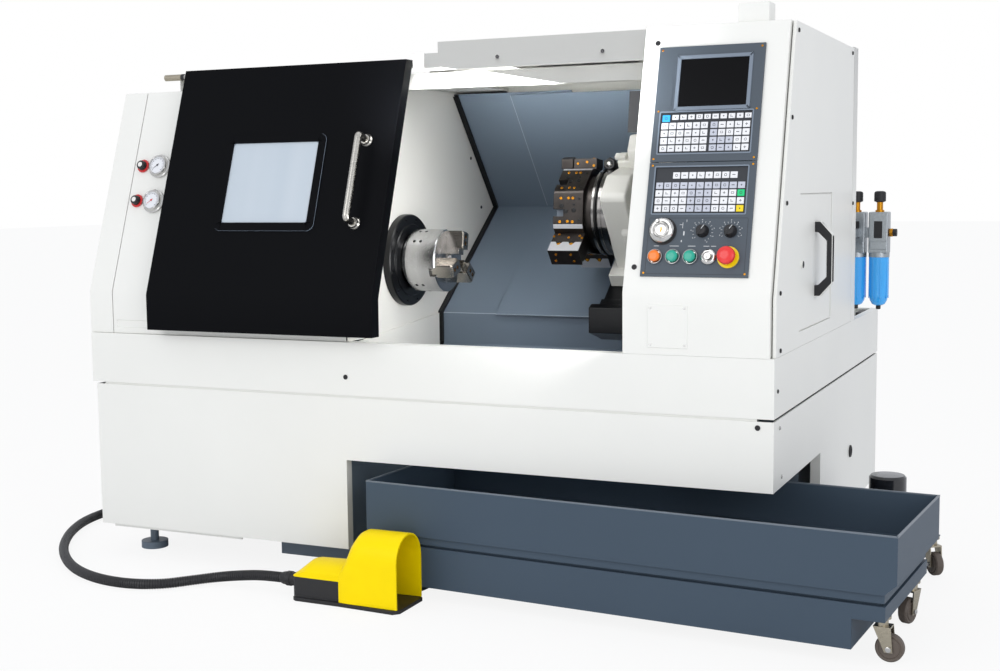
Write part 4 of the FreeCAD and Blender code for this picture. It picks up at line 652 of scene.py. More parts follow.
# The route of the conduit as the CAD gives it, in millimetres.
ROUTE = [(-100, 420, 120), (-152, 420, 120), (-214, 404, 102), (-276, 366, 72), (-328, 306, 42),
         (-364, 234, 21), (-376, 160, 14), (-346, 68, 14), (-284, -48, 14), (-184, -182, 14),
         (-44, -308, 14), (88, -374, 14), (208, -389, 14), (300, -358, 14), (352, -300, 15),
         (412, -258, 20), (484, -252, 30), (550, -255.5, 38), (606, -255.5, 38)]
CONDUIT_RADIUS = 13.5
RIB_PITCH = 6.5
RIB_PROFILE = ((0.0, 0.87), (0.3, 0.87), (0.45, 1.0), (0.85, 1.0))     # share of pitch, of radius
RIB_SIDES = 20


def route_points():
    """The line of the conduit, read from a smooth spline through its route."""
    curve = bpy.data.curves.new("conduit_line", "CURVE")
    curve.dimensions = "3D"
    spline = curve.splines.new("NURBS")
    spline.points.add(len(ROUTE) - 1)
    for point, at in zip(spline.points, ROUTE):
        point.co = (*at, 1)
    spline.order_u = 3
    spline.use_endpoint_u = True
    spline.resolution_u = 24
    holder = placed("conduit_line", curve)
    line = bpy.data.meshes.new_from_object(holder)
    points = [v.co.copy() for v in line.vertices]
    bpy.data.objects.remove(holder)
    return points


def walk(points, step_at):
    """Positions and directions at given lengths along a line of points."""
    lengths = [0.0]
    for a, b in zip(points, points[1:]):
        lengths.append(lengths[-1] + (b - a).length)
    found, index = [], 0
    for want in step_at(lengths[-1]):
        while index < len(points) - 2 and lengths[index + 1] < want:
            index += 1
        a, b = points[index], points[index + 1]
        share = min(1.0, (want - lengths[index]) / max(1e-6, lengths[index + 1] - lengths[index]))
        found.append((a.lerp(b, share), (b - a).normalized()))
    return found


def conduit():
    """Ribbed conduit: a ring for every step of each rib, carried along the line without twist."""
    points = route_points()

    def steps(total):
        count = round(total / RIB_PITCH)
        pitch = total / count
        return [(k + share) * pitch for k in range(count) for share, _ in RIB_PROFILE] + [total]

    stations = walk(points, steps)
    widths = [width for _ in range(len(stations) // len(RIB_PROFILE)) for _, width in RIB_PROFILE] + [0.87]
    hose = bmesh.new()
    across = stations[0][1].orthogonal().normalized()
    rings = []
    for (at, ahead), width in zip(stations, widths):
        across = (across - ahead * across.dot(ahead)).normalized()
        third = ahead.cross(across)
        reach = CONDUIT_RADIUS * width
        rings.append([hose.verts.new(at + (across * math.cos(t) + third * math.sin(t)) * reach)
                      for t in (math.tau * k / RIB_SIDES for k in range(RIB_SIDES))])
    for one, two in zip(rings, rings[1:]):
        for k in range(RIB_SIDES):
            hose.faces.new((one[k], one[(k + 1) % RIB_SIDES], two[(k + 1) % RIB_SIDES], two[k]))
    hose.faces.new(rings[0][::-1])
    hose.faces.new(rings[-1])
    mesh = bpy.data.meshes.new("conduit_hose")
    hose.to_mesh(mesh)
    hose.free()
    thing = placed("conduit_hose", mesh)
    fit(thing, "conduit_hose", "hose", "conduit", smooth=50, instead=True)


def conduit_glands():
    """Ribbed nut and tapered collar over each end of the conduit."""
    nut = [(-4, 14.5), (2, 16.4), (10, 17.2), (12, 19.0), (24, 19.0), (26, 17.4), (38, 17.4), (40, 20.5),
           (52, 20.5), (53, 19.0)]
    at_pedal = turned(nut, 24)
    fit(at_pedal, "pedal_gland", "black", "pedal_base", shift(610, -255.5, 38) @ spun("Y", 90))
    at_base = turned([(0, 24), (4, 24), (5, 20), (10, 20), (13, 18.8), (15, 17)], 24)
    fit(at_base, "base_gland", "black", "pedal_base", shift(-86, 420, 120) @ spun("Y", -90))


# ============================ screws and plugs ============================

def cap_screw(radius, height):
    """Round head with a hollow for the key."""
    return turned([(-1, radius * 0.9), (height * 0.6, radius), (height, radius * 0.82), (height, radius * 0.45),
                   (height * 0.35, radius * 0.42)], 14)


def screws(name, paint, node, face, places, radius, height, lift=0.2):
    """A set of alike screws on one face, as one piece."""
    heads = repeated(cap_screw(radius, height), [shift(x, y, 0) for x, y in places])
    fit(heads, name, paint, node, face @ shift(0, 0, lift))


def casing_screws():
    side_rim = [(95, 1385), (33, 1181), (-14, 984), (-71, 781), (-65, 649), (794, 1390), (830, 973)]
    box_edge = [(1512, up_face(1367, *PANEL_RISE)), (1503, up_face(838, *PANEL_RISE))]
    for name, paint, face, places, radius, height in (
            ("side_screws", "black_metal", SIDE, side_rim, 5.5, 3.0),
            ("band_side_screws", "black_metal", SIDE, [(-86, 558)], 5.0, 2.4),
            ("tier_side_screws", "chrome", SIDE, [(-63, 470), (-39, 352)], 5.0, 2.4),
            ("front_plugs", "black", FRONT, [(725, 545), (1803, 477)], 6.5, 2.0),
            ("box_plugs", "black", PANEL, box_edge, 6.5, 2.0),
            ("wall_plugs", "black", WALL, [(645, 1118), (716, 969)], 5.0, 2.0)):
        screws(name, paint, "coolant_band", face, places, radius, height)
    rivets = [(1548, 659), (1630, 659), (1548, 745), (1630, 745)]
    screws("plate_rivets", "chrome", "coolant_band", FRONT, rivets, 2.4, 1.2, 2.0)
    screws("ledge_screws", "black", "coolant_band", leaning(0.084, 0, 0), [(1073, 1360), (1358, 1360)], 5, 2)


def grommet():
    """Rubber ring in the cable hole of the rear leg."""
    ring = turned([(-6, 11), (-6, 13.6), (0.5, 13.6), (0.5, 18), (4, 17), (5, 13), (3, 9), (-2, 9)], 24)
    fit(ring, "cable_grommet", "rubber", "drive_belt", SIDE @ shift(846, 255, 0))


# ============================ operator panel ============================

def panel_screws():
    corners = [(1528, 48), (1768, 48), (1528, 307), (1768, 307), (1528, 323), (1768, 323), (1528, 592),
               (1768, 592), (1530, 440), (1766, 440)]
    screws("plate_screws", "brass", "control_plates", PANEL, corners, 2.6, 1.0, TOP_OF_PLATE)


KEY_LEFT, KEY_PITCH = 1541, 19.6
UPPER_ROWS, LOWER_ROWS, ROW_PITCH = 341, 195, 18.5
TOP_OF_PLATE = 5.0


def key_places():
    """Every key as (x, y, width, height, paint), row by row from the bottom."""
    keys = []
    for row in range(4):
        for column in range(11):
            gap = 4.0 if column > 5 else 0.0
            x = KEY_LEFT - 1 + column * (KEY_PITCH - 0.35) + gap
            grey = column == 6 or (row < 2 and column in (7, 8))
            keys.append((x, UPPER_ROWS + row * ROW_PITCH, 16.6, 15.2, "key_grey" if grey else "key"))
    for column in range(10):
        keys.append((KEY_LEFT + 24 + column * 19.4, UPPER_ROWS + 4 * ROW_PITCH + 4, 15.4, 12.0, "key"))
    keys.append((KEY_LEFT, UPPER_ROWS + 4 * ROW_PITCH - 0.5, 18.5, 16.5, "cyan"))
    for row in range(4):
        for column in range(11):
            x = KEY_LEFT - 1 + column * KEY_PITCH
            paint = "key_grey" if (3 < column < 7 or row == 3) else "key"
            if column == 10 and row == 2:
                paint = "key_green"
            if column == 10 and row == 0:
                paint = "key_yellow"
            keys.append((x, LOWER_ROWS + row * ROW_PITCH, 16.8, 15.4, paint))
    for column in range(2, 10):
        keys.append((KEY_LEFT - 1 + column * KEY_PITCH, LOWER_ROWS + 4 * ROW_PITCH + 6, 16.8, 15.4, "key"))
    return keys


def key_marks():
    """Plain marks for the keys: bar, ring, dot, corner and cross, made from thin flat shapes."""
    ring = rounded_plate(-3.2, -3.2, 3.2, 3.2, 2.6, 0, 0.16, hole=1.0, segments=3)
    bar = slab((-3.6, -0.8, 0), (3.6, 0.8, 0.16))
    dot = rounded_plate(-1.6, -1.6, 1.6, 1.6, 1.3, 0, 0.16, segments=2)
    corner = joined([slab((-3, -2.6, 0), (3, -1.4, 0.16)), slab((-3, -1.4, 0), (-1.8, 3, 0.16))])
    cross = joined([slab((-3, -0.6, 0), (3, 0.6, 0.16)), slab((-0.6, 0.6, 0), (0.6, 3, 0.16)),
                    slab((-0.6, -3, 0), (0.6, -0.6, 0.16))])
    frame_mark = rounded_plate(-3.4, -2.6, 3.4, 2.6, 0.4, 0, 0.16, hole=0.9, segments=1)
    return [ring, bar, dot, corner, cross, frame_mark]


def keypads():
    """Two membrane keypads: dished dark fields, white keys and the plain marks on them."""
    top = TOP_OF_PLATE - 0.6
    by_paint = {}
    for x, y, wide, tall, paint in key_places():
        by_paint.setdefault(paint, []).append((x, y, wide, tall))
    for paint, places in by_paint.items():
        caps = [slab((x, y, 1.8), (x + wide, y + tall, top), 0.7, 2) for x, y, wide, tall in places]
        fit(joined(caps), "keys_" + paint, paint, "keypads", PANEL, instead=paint == "key")
    marks = key_marks()
    poses = [[] for _ in marks]
    for index, (x, y, wide, tall, paint) in enumerate(key_places()):
        kind = (index * 7 + index // 11 * 3) % len(marks)
        poses[kind].append(shift(x + wide / 2, y + tall / 2, top - 0.02))
    shapes = [repeated(mark, places) for mark, places in zip(marks, poses)]
    fit(joined(shapes), "key_marks", "mark", "keypads", PANEL)
    for name, low, high in (("upper", UPPER_ROWS - 4.6, UPPER_ROWS + 5 * ROW_PITCH + 3.6),
                            ("lower", LOWER_ROWS - 4.6, LOWER_ROWS + 5 * ROW_PITCH + 15.6)):
        field = slab((1536.4, low, 1.4), (1757.2, high, 1.9))
        fit(field, name + "_key_field", "field", "keypads", PANEL)
        rim = rounded_plate(1533, low - 3, 1760.5, high + 3, 4, 4.4, 1.5, hole=3.6, segments=4)
        fit(bevelled(rim, 0.6), name + "_key_rim", "bezel", "control_plates", PANEL)


def display():
    """Sloping bezel round the screen and the blank cover of the card slot beside it."""
    bezel = rounded_plate(1567, 441, 1749, 577, 3, 3.5, 3.6, hole=9, segments=3)
    fit(bevelled(bezel, 1.5, 3), "screen_bezel", "bezel", "control_plates", PANEL)
    blank = rounded_plate(1536, 452, 1560, 556, 2, 4.8, 0.9, segments=3)
    fit(bevelled(blank, 0.4), "card_slot_cover", "plate", "control_plates", PANEL)


def tick_ring(x, y, radius, count, first, last, long, wide=0.9):
    """Printed ticks round a dial, from one angle to another."""
    poses = []
    for k in range(count):
        angle = first + (last - first) * k / (count - 1)
        poses.append(shift(x, y, 0) @ spun("Z", angle) @ shift(0, radius, 0))
    return repeated(slab((-wide / 2, 0, 4.96), (wide / 2, long, 5.12)), poses)


def dials():
    """Printed scales of plain ticks, the dials' pointers and the lower field lines."""
    scales = [tick_ring(1662, 148, 21, 15, 130, -160, 4.0), tick_ring(1728, 148, 20, 13, 120, -120, 4.0),
              tick_ring(1662, 148, 27, 8, 125, -155, 1.6, 2.4), tick_ring(1728, 148, 26, 7, 110, -110, 1.6, 2.4)]
    for x, y, wide, tall in ((1613, 155, 1.2, 14), (1616, 138, 3.4, 10), (1612, 122, 2.4, 5), (1606, 163, 7, 1.2),
                             (1622, 170, 1.2, 6), (1586, 112, 22, 1.4), (1630, 112, 18, 1.4),
                             (1667, 112, 14, 1.4), (1685, 112, 12, 1.4), (1548, 112, 12, 1.4)):
        scales.append(slab((x, y, 4.96), (x + wide, y + tall, 5.12)))
    fit(joined(scales), "dial_scales", "print", "control_plates", PANEL)
    outline = rounded_plate(1531, 46, 1767, 180, 3, 4.9, 0.35, hole=0.8, segments=3)
    fit(outline, "control_outline", "field", "control_plates", PANEL)
    for name, x in (("feed_dial", 1662), ("rapid_dial", 1728)):
        knob = turned([(5.5, 15), (7, 15.4), (12, 12.6), (22, 11.6), (23.5, 10.4), (23.8, 9)], 36)
        wing = slab((-2.6, -14.5, 7), (2.6, 13.5, 24.6), 1.2, 3)
        line = slab((-0.7, 2, 24.5), (0.7, 13, 24.9))
        pose = PANEL @ shift(x, 148, 0) @ spun("Z", -35)
        fit(joined([knob, wing]), name + "_knob", "black", name, pose, instead=True)
        fit(line, name + "_pointer", "print", name, pose)


def handwheel():
    """Pulse wheel: knurled rim, dished face, centre boss with its brass key mark."""
    wheel = turned([(5.5, 27.5), (6.5, 29), (17, 29), (20, 27), (21.6, 24), (21.2, 20.5), (18.6, 18.5),
                    (17.6, 16.5), (18.2, 15.2), (20.6, 14.6), (22.4, 13.2), (22.9, 10)], 72)
    fit(wheel, "handwheel_dish", "chrome", "handwheel", PANEL @ shift(1567, 148, 0), instead=True)
    knurl = repeated(slab((-0.55, 28.6, 8), (0.55, 29.5, 16), 0.2, 1),
                     [spun("Z", 360 / 60 * k) for k in range(60)])
    fit(knurl, "handwheel_knurl", "chrome", "handwheel", PANEL @ shift(1567, 148, 0))
    mark = prism([(-2.4, -6), (1.4, -6), (2.6, 0), (1.2, 6.5), (-1.6, 5), (-0.8, 0)], 22.6, 23.4)
    fit(mark, "handwheel_mark", "brass", "handwheel", PANEL @ shift(1567, 148, 0))
    crank = turned([(20, 4), (21, 5), (27, 4.2), (28.4, 3.2)], 20)
    fit(crank, "handwheel_grip", "chrome", "handwheel", PANEL @ shift(1567, 148, 0) @ spun("Z", 25) @ shift(0, 22, 0))
    base = turned([(4.9, 33), (6.0, 33), (6.4, 32), (6.4, 26)], 48)
    fit(base, "handwheel_collar", "black", "control_plates", PANEL @ shift(1567, 148, 0))


def push_buttons():
    """Coloured caps in their bright collars, the key switch and the emergency stop."""
    for name, x, paint in (("orange_button", 1553, "orange"), ("green_button_left", 1596, "green"),
                           ("green_button_right", 1638, "green")):
        cap = turned([(9.2, 12), (10.4, 13.2), (15.5, 13.6), (17.6, 12.6), (18.6, 10), (18.9, 5)], 40)
        pose = PANEL @ shift(x, 87, 0)
        fit(cap, name + "_cap", paint, name, pose, instead=True)
        collar = turned([(4.6, 18.2), (5.6, 18.6), (8.6, 18.2), (10.4, 17.4), (10.8, 16.2), (10.2, 15.0),
                         (5.1, 14.6)], 40)
        fit(collar, name + "_collar", "chrome", "key_switch", pose, body="machine")
    face = turned([(5.6, 17.8), (7.6, 18.2), (9.6, 17.6), (11.6, 14.8), (11.4, 12.6), (8.0, 11.8), (7.6, 9.4),
                   (17.0, 8.6), (18.6, 7.6), (18.8, 5.0)], 40)
    pose = PANEL @ shift(1681, 87, 0)
    fit(face, "key_switch_barrel", "chrome", "key_switch", pose, instead=True)
    fit(slab((-0.9, -5.2, 18.3), (0.9, 4.2, 19.0), 0.2), "key_slot", "black", "key_switch", pose)
    pose = PANEL @ shift(1727, 87, 0)
    ring = turned([(4.9, 26), (6.6, 26), (7.2, 25.2), (7.2, 13)], 56)
    fit(ring, "stop_ring", "stop_yellow", "estop_button", pose, body="machine")
    head = turned([(11.8, 12), (13.4, 12), (17.6, 19.2), (21.4, 20.8), (29.6, 20.8), (33.4, 18.8),
                   (35.8, 14.0), (36.8, 7.0)], 56)
    fit(head, "stop_head", "red", "estop_button", pose, instead=True)
    neck = turned([(7.0, 13.4), (12.2, 13.4), (12.4, 9)], 40)
    fit(neck, "stop_neck", "chrome", "key_switch", pose, body="machine")


# ============================ door ============================

def door_window():
    """Window: rubber-lipped black frame with round corners and the pane in it."""
    left, right = 335, 617
    low, high = up_face(934, *DOOR_RISE), up_face(1160, *DOOR_RISE)
    lip = rounded_plate(left - 14, low - 14, right + 14, high + 14, 20, 0.5, 4.0, hole=22, segments=8)
    fit(bevelled(lip, 0.9), "window_frame", "door", "door_window", DOOR, instead=True)
    bead = rounded_plate(left - 14.5, low - 14.5, right + 14.5, high + 14.5, 20, 0.4, 2.6, hole=2.4, segments=8)
    fit(bevelled(bead, 0.8), "window_bead", "bezel", "door_window", DOOR)
    pane = rounded_plate(left + 3, low + 3, right - 3, high - 3, 14, -3.0, 4.5, segments=6)
    fit(bevelled(pane, 0.5), "window_glass_pane", "pane", "door_window", DOOR)
    seal = rounded_plate(left + 6, low + 6, right - 6, high - 6, 12, 1.2, 1.0, hole=2.0, segments=6)
    fit(seal, "window_seal", "bezel", "door_window", DOOR)


def door_handle():
    """Stainless bar on two stepped rosettes."""
    low, high = up_face(940, *DOOR_RISE), up_face(1152, *DOOR_RISE)
    pieces = [bent_tube([(752, low, 2), (752, low, 30), (752, low, 46), (752, low + 18, 46), (752, low + 60, 46),
                         (752, high - 60, 46), (752, high - 18, 46), (752, high, 46), (752, high, 30),
                         (752, high, 2)], 9.6, 28, 3)]
    for y in (low, high):
        rose = turned([(0.3, 17), (2.4, 17), (4.6, 15.4), (7, 13.4), (12, 12.6), (13, 10.2)], 36)
        pieces.append(moved(rose, shift(752, y, 0)))
    fit(joined(pieces), "door_bar", "stainless", "door_handle", DOOR, smooth=45, instead=True)


def ledge_end():
    """Left end of the ledge over the door track."""
    section = [(84, 1333), (84, 1378), (122, 1378), (122, 1374), (88, 1374), (88, 1333)]
    end = moved(bevelled(prism(section, 829, 862.4), 0.9), ALONG_X)
    fit(end, "ledge_left_end", "white", "roof_cover")


def rail_end():
    """Bright end of the door rail with its black plug."""
    sleeve = turned([(0, 7.4), (1, 8.9), (56, 8.9), (57, 8.2)], 28)
    fit(sleeve, "rail_sleeve", "zinc", "roof_cover", shift(19.5, 101, 1351) @ spun("Y", 90))
    plug = turned([(0, 9.4), (9, 9.4), (10, 8.8)], 28)
    fit(plug, "rail_bush", "black", "roof_cover", shift(77.5, 101, 1351) @ spun("Y", 90))


# ============================ gauges ============================

def gauges():
    """Bright stepped flanges, white faces with plain ticks, and needles."""
    for name, up, turn, needle in (("upper", 365, 0, "mark"), ("lower", 262, 0, "knob_red")):
        pose = COVER @ shift(64, up, 0)
        case = turned([(0.3, 32), (3.2, 33.6), (6.4, 33.6), (8.4, 30.6), (14, 29.6), (16.6, 28.4), (18.0, 25.8),
                       (17.0, 24.2), (14.6, 23.6)], 48)
        fit(case, name + "_gauge_case", "chrome", "pressure_gauges", pose, instead=name == "upper")
        fit(turned([(14.0, 23.8), (14.9, 23.8), (14.95, 10)], 40), name + "_gauge_face", "dial_white",
            "pressure_gauges", pose)
        ticks = [repeated(slab((-0.4, 17.5, 14.9), (0.4, 21.5, 15.1)), [spun("Z", 135 - 27 * k) for k in range(11)]),
                 repeated(slab((-0.25, 19.2, 14.9), (0.25, 21.5, 15.1)),
                          [spun("Z", 135 - 5.4 * k) for k in range(51)])]
        fit(joined(ticks), name + "_gauge_scale", "mark", "pressure_gauges", pose)
        pointer = joined([prism([(-0.9, -6), (0.9, -6), (0.35, 17), (-0.35, 17)], 15.6, 16.0),
                          turned([(15.0, 2.6), (16.4, 2.6), (16.8, 1.8)], 20)])
        fit(pointer, name + "_gauge_needle", needle, "pressure_gauges", pose @ spun("Z", 128))
    for name, up in (("gauge_knob_upper", 367), ("gauge_knob_lower", 264)):
        pose = COVER @ shift(6, up, 0)
        rim = turned([(0.5, 17.6), (2.0, 18.8), (5.0, 18.8), (6.4, 17.4), (6.4, 13.8)], 40)
        fit(rim, name + "_rim", "knob_red", name, pose, instead=True)
        grip = turned([(5.4, 13.8), (8.0, 13.6), (17.4, 12.2), (18.6, 11.0), (18.6, 6.8)], 20)
        fit(grip, name + "_grip", "black", name, pose)
        cap = turned([(17.8, 7.2), (19.4, 6.8), (20.0, 5.4)], 28)
        fit(cap, name + "_cap", "knob_white", name, pose)


# ============================ chuck and turret ============================

def chuck_details():
    """Socket screws in the jaws, the chuck's rim holes and the flange bolts."""
    for index in range(3):
        pose = SPINDLE @ spun("X", 80 + 120 * index) @ ALONG_X
        heads = repeated(turned([(0, 5.7), (7, 5.7), (7.6, 5.0), (7.6, 3.1), (4, 3.0)], 18),
                         [shift(47, 0, 0), shift(64, 0, 0)])
        fit(heads, "jaw_screws_%d" % (index + 1), "brass", "chuck_jaw_%d" % (index + 1), pose @ shift(0, 0, 896.5))
    # the rim holes are flat black discs: their darkness is painted shade
    holes = []
    for angle in (20, 50, 140, 170, 260, 290):
        for at in (793, 812):
            single = turned([(-1, 4.4), (0.5, 4.4), (0.7, 3.4)], 16)
            holes.append(moved(single, spun("X", angle) @ shift(at, 0, 84.6)))
    fit(joined(holes), "chuck_rim_hole_shade", "black_metal", "chuck_body", SPINDLE)
    bolts = []
    for k in range(12):
        angle = math.radians(30 * k + 15)
        bolt = turned([(744, 4.3), (749.4, 4.3), (749.9, 3.6), (749.9, 2.2), (747.5, 2.1)], 14)
        bolts.append(moved(bolt, ALONG_X @ shift(114 * math.cos(angle), 114 * math.sin(angle), 0)))
    fit(joined(bolts), "flange_bolts", "black_metal", "spindle_flange", SPINDLE)
    groove = turned([(763, 76.5), (770, 76.5), (770.4, 76)], 60)
    fit(groove, "chuck_back_ring", "chuck", "chuck_body", SPINDLE @ ALONG_X)


def facing(radius, height, sides=16, hollow=0.5):
    """Socket screw whose head stands on z = 0."""
    return turned([(-1, radius), (height * 0.75, radius), (height, radius * 0.8), (height, radius * hollow),
                   (height * 0.2, radius * hollow * 0.9)], sides)


def turret_disc():
    """Tool disc: eight flats with a notch in the front edge, ground corners, collar and hub."""
    flat, half = 114, 40.7
    rim = []
    for k in range(8):
        turn = math.radians(45 * k)
        for side in (half, -half):
            rim.append((side * math.cos(turn) - flat * math.sin(turn),
                        side * math.sin(turn) + flat * math.cos(turn)))
    turns = [spun("Z", 45 * k) for k in range(8)]
    disc = cut_by(prism(rim, 1150, 1235), repeated(slab((-19, 88, 1148), (0, 126, 1179)), turns))
    for y in (-30, 26):
        disc = cut_by(disc, repeated(moved(rod_between((0, 0, 1140), (0, 0, 1172), 6.5, 20), shift(y, 92, 0)), turns))
    bevelled(disc, 1.2, 2, 35)
    collar = turned([(1234, 102), (1255, 102), (1256.5, 100.6)], 72)
    hub = turned([(1151, 42), (1138, 42), (1136, 40), (1136, 22), (1142, 21)], 48)
    fit(joined([disc, collar, hub]), "turret_disc_body", "turret", "turret_disc", DISC @ ALONG_X, instead=True)
    floors = repeated(slab((-18.6, 87.4, 1150.6), (-0.4, 88.6, 1178)), turns)
    fit(floors, "notch_floors", "bezel", "turret_disc", DISC @ ALONG_X)


def holder_block(left, tall):
    """Holder block with a clamp groove along it and two screw recesses in its upper side."""
    block = slab((left, -25, 114.3), (1238, 25, 114 + tall))
    block = cut_by(block, rod_between((left - 2, -25, 106 + tall), (1240, -25, 106 + tall), 6, 16))
    for x in (left + 24, left + 60):
        block = cut_by(block, rod_between((x, 19, tall + 86), (x, 27, tall + 86), 7.5, 24))
    return bevelled(block, 1.2, 2, 35)


def tool_holders():
    """Four holders on flats of the disc: two with a boring sleeve, two with a turning tool."""
    sleeve = moved(turned([(1232, 13), (1149, 13), (1147, 11.6), (1147, 8.4), (1176, 8.0)], 36), ALONG_X)
    boring = joined([holder_block(1150, 71), moved(sleeve, shift(0, 0, 152))])
    shank = slab((1150, -10.3, 123), (1232, 10.3, 142), 0.8)
    head = moved(bevelled(prism([(-17, 117), (17, 117), (20, 128), (14, 146), (-2, 151), (-18, 143)], 1132, 1166),
                          1.4, 2), ALONG_X)
    seat = slab((1128, -8, 140), (1146, 8, 147), 1.2)
    turning = joined([moved(slab((0, -25, 114.3), (66, 25, 144), 1.6), shift(1172, 0, 0)), shank, head, seat])
    boring = repeated(boring, [spun("X", 45 * k) for k in (2, 4)])
    turning = repeated(turning, [spun("X", 45 * k) for k in (7, 5)])
    fit(joined([boring, turning]), "holder_blocks", "turret", "tool_holders", DISC, instead=True)


def turret_housing():
    """Cast turret body: base on the cross guide, broad front, motor hump, coolant block, ring core."""
    low = -137.7
    front = [(-118, low + 10), (-118, 128), (-106, 141), (-35, 149), (64, 104), (128, 50), (146, low + 10)]
    rear = [(-126, low + 10), (-126, 20), (-80, 100), (10, 128), (84, 100), (128, 30), (146, low + 10)]
    hump = [(40, 60), (52, 164), (96, 184), (150, 150), (150, 40)]
    inlet = [(50, 78), (56, 126), (92, 132), (106, 96), (98, 66)]
    pieces = [slab((1287, -150, low), (1470, 160, low + 40), 3, 3)]
    for outline, left, right, rounding in ((front, 1302, 1374, 7), (rear, 1340, 1470, 7), (hump, 1338, 1462, 6),
                                           (inlet, 1302, 1344, 4)):
        pieces.append(moved(bevelled(prism(outline, left, right), rounding, 3, 12), ALONG_X))
    fit(joined(pieces), "turret_body", "cast", "turret_housing", TURRET, smooth=40, instead=True)
    core = turned([(1257, 108), (1257, 115), (1258, 116), (1269, 116), (1269.5, 111), (1274.5, 111), (1275, 116),
                   (1308, 116)], 96)
    fit(core, "ring_core", "black_metal", "turret_housing", TURRET @ ALONG_X)


def cross_cover():
    """Black stepped covers at the low end of the cross guide and the cheek plates beside it."""
    front = [(-109, 20), (-109, 146), (-132, 152), (-173, 99), (-130, 45), (-113, 20)]
    pieces = [slab((1280, -58, 20), (1520, 9.7, 117), 2), slab((1273, -109.2, 20), (1527, -57, 117.5), 2),
              moved(bevelled(prism(front, 1266, 1534), 2.4, 2, 12), ALONG_X),
              slab((1286, 9, 20), (1299.7, 360, 117), 1.2), slab((1500.3, 9, 20), (1514, 360, 117), 1.2)]
    fit(joined(pieces), "cross_cover_steps", "black_metal", "cross_cover", BED, instead=True)


def turret_details():
    """Brass screws and dark holes of the four free flats, ground datum strips and brass screws in the disc's face."""
    screws_at, holes_at, small_at = [], [], []
    for station in (0, 1, 3, 6):
        turn = spun("X", 45 * station)
        for x, y in ((1172, 29), (1194, 29), (1206, 29), (1170, -34), (1192, -33), (1206, -34)):
            screws_at.append(turn @ shift(x, y, 114))
        for x, y in ((1174, 9), (1209, -3), (1186, -6)):
            holes_at.append(turn @ shift(x, y, 114))
        for x, y in ((1209, 12), (1224, 28), (1224, -30)):
            small_at.append(turn @ shift(x, y, 114))
    fit(repeated(facing(3.9, 2.2), screws_at), "disc_screws", "brass", "turret_disc", DISC)
    # the dark holes of the flats are low black caps: their darkness is painted shade
    fit(repeated(facing(6.2, 1.2, 18, 0.72), holes_at), "disc_hole_shade", "black_metal", "turret_disc", DISC)
    fit(repeated(facing(3.4, 1.0, 14, 0.6), small_at), "disc_pins", "black_metal", "turret_disc", DISC)
    strip = slab((1150.6, -6.0, 120.4), (1234.4, 6.0, 121.3), 0.2, 1)
    fit(repeated(strip, [spun("X", 45 * k + 22.5) for k in (1, 3, 5, 7)]), "datum_strips", "ground", "turret_disc",
        DISC)
    face = facing(4.6, 2.4)
    face.data.transform(spun("Y", -90))
    places = [spun("X", 45 * k + turn) @ shift(1150, 0, reach) for k in range(8) for turn,
              reach in ((0, 78), (22.5, 62))]
    fit(repeated(face, places), "disc_face_screws", "brass", "turret_disc", DISC)


def holder_details():
    """Clamp screws in their recesses, ground side plates and small screws of the four holders."""
    side = spun("X", -90)
    balls, small, plates = [], [], []
    for station in (2, 4):
        turn = spun("X", 45 * station)
        for x in (1174, 1210):
            balls.append(turn @ shift(x, 19.5, 157) @ side)
        for x, y in ((1172, 12), (1214, 12), (1218, -12), (1166, -10)):
            small.append(turn @ shift(x, y, 185))
        for x, z in ((1153, 128), (1166, 121), (1196, 133), (1226, 126), (1234, 134)):
            small.append(turn @ shift(x, 25, z) @ side)
        plates.append(turn @ shift(0, 25.6, 0) @ spun("X", 90))
    for station in (7, 5):
        turn = spun("X", 45 * station)
        for x, y, z in ((1186, 12, 144), (1190, -2, 144), (1226, 14, 144), (1226, -14, 144), (1142, 6, 147)):
            small.append(turn @ shift(x, y, z))
        for x, z in ((1184, 130), (1210, 134), (1230, 124)):
            small.append(turn @ shift(x, -25, z) @ side.inverted())
        for x in (1190, 1216):
            small.append(turn @ shift(x, 25, 130) @ side)
    dome = turned([(-1, 6.2), (4, 6.2), (6, 5.2), (7, 3.6), (7.3, 1.6)], 20)
    fit(repeated(dome, balls), "holder_balls", "brass", "tool_holders", DISC)
    fit(repeated(facing(3.6, 2.0), small), "holder_screws", "brass", "tool_holders", DISC)
    notched = [(1150.6, 184), (1150.6, 150), (1164, 150), (1169, 158), (1179, 158), (1184, 150), (1200, 150),
               (1205, 158), (1215, 158), (1220, 150), (1237.4, 150), (1237.4, 184)]
    fit(repeated(prism(notched, 0, 0.6), plates), "holder_plates", "ground", "tool_holders", DISC)


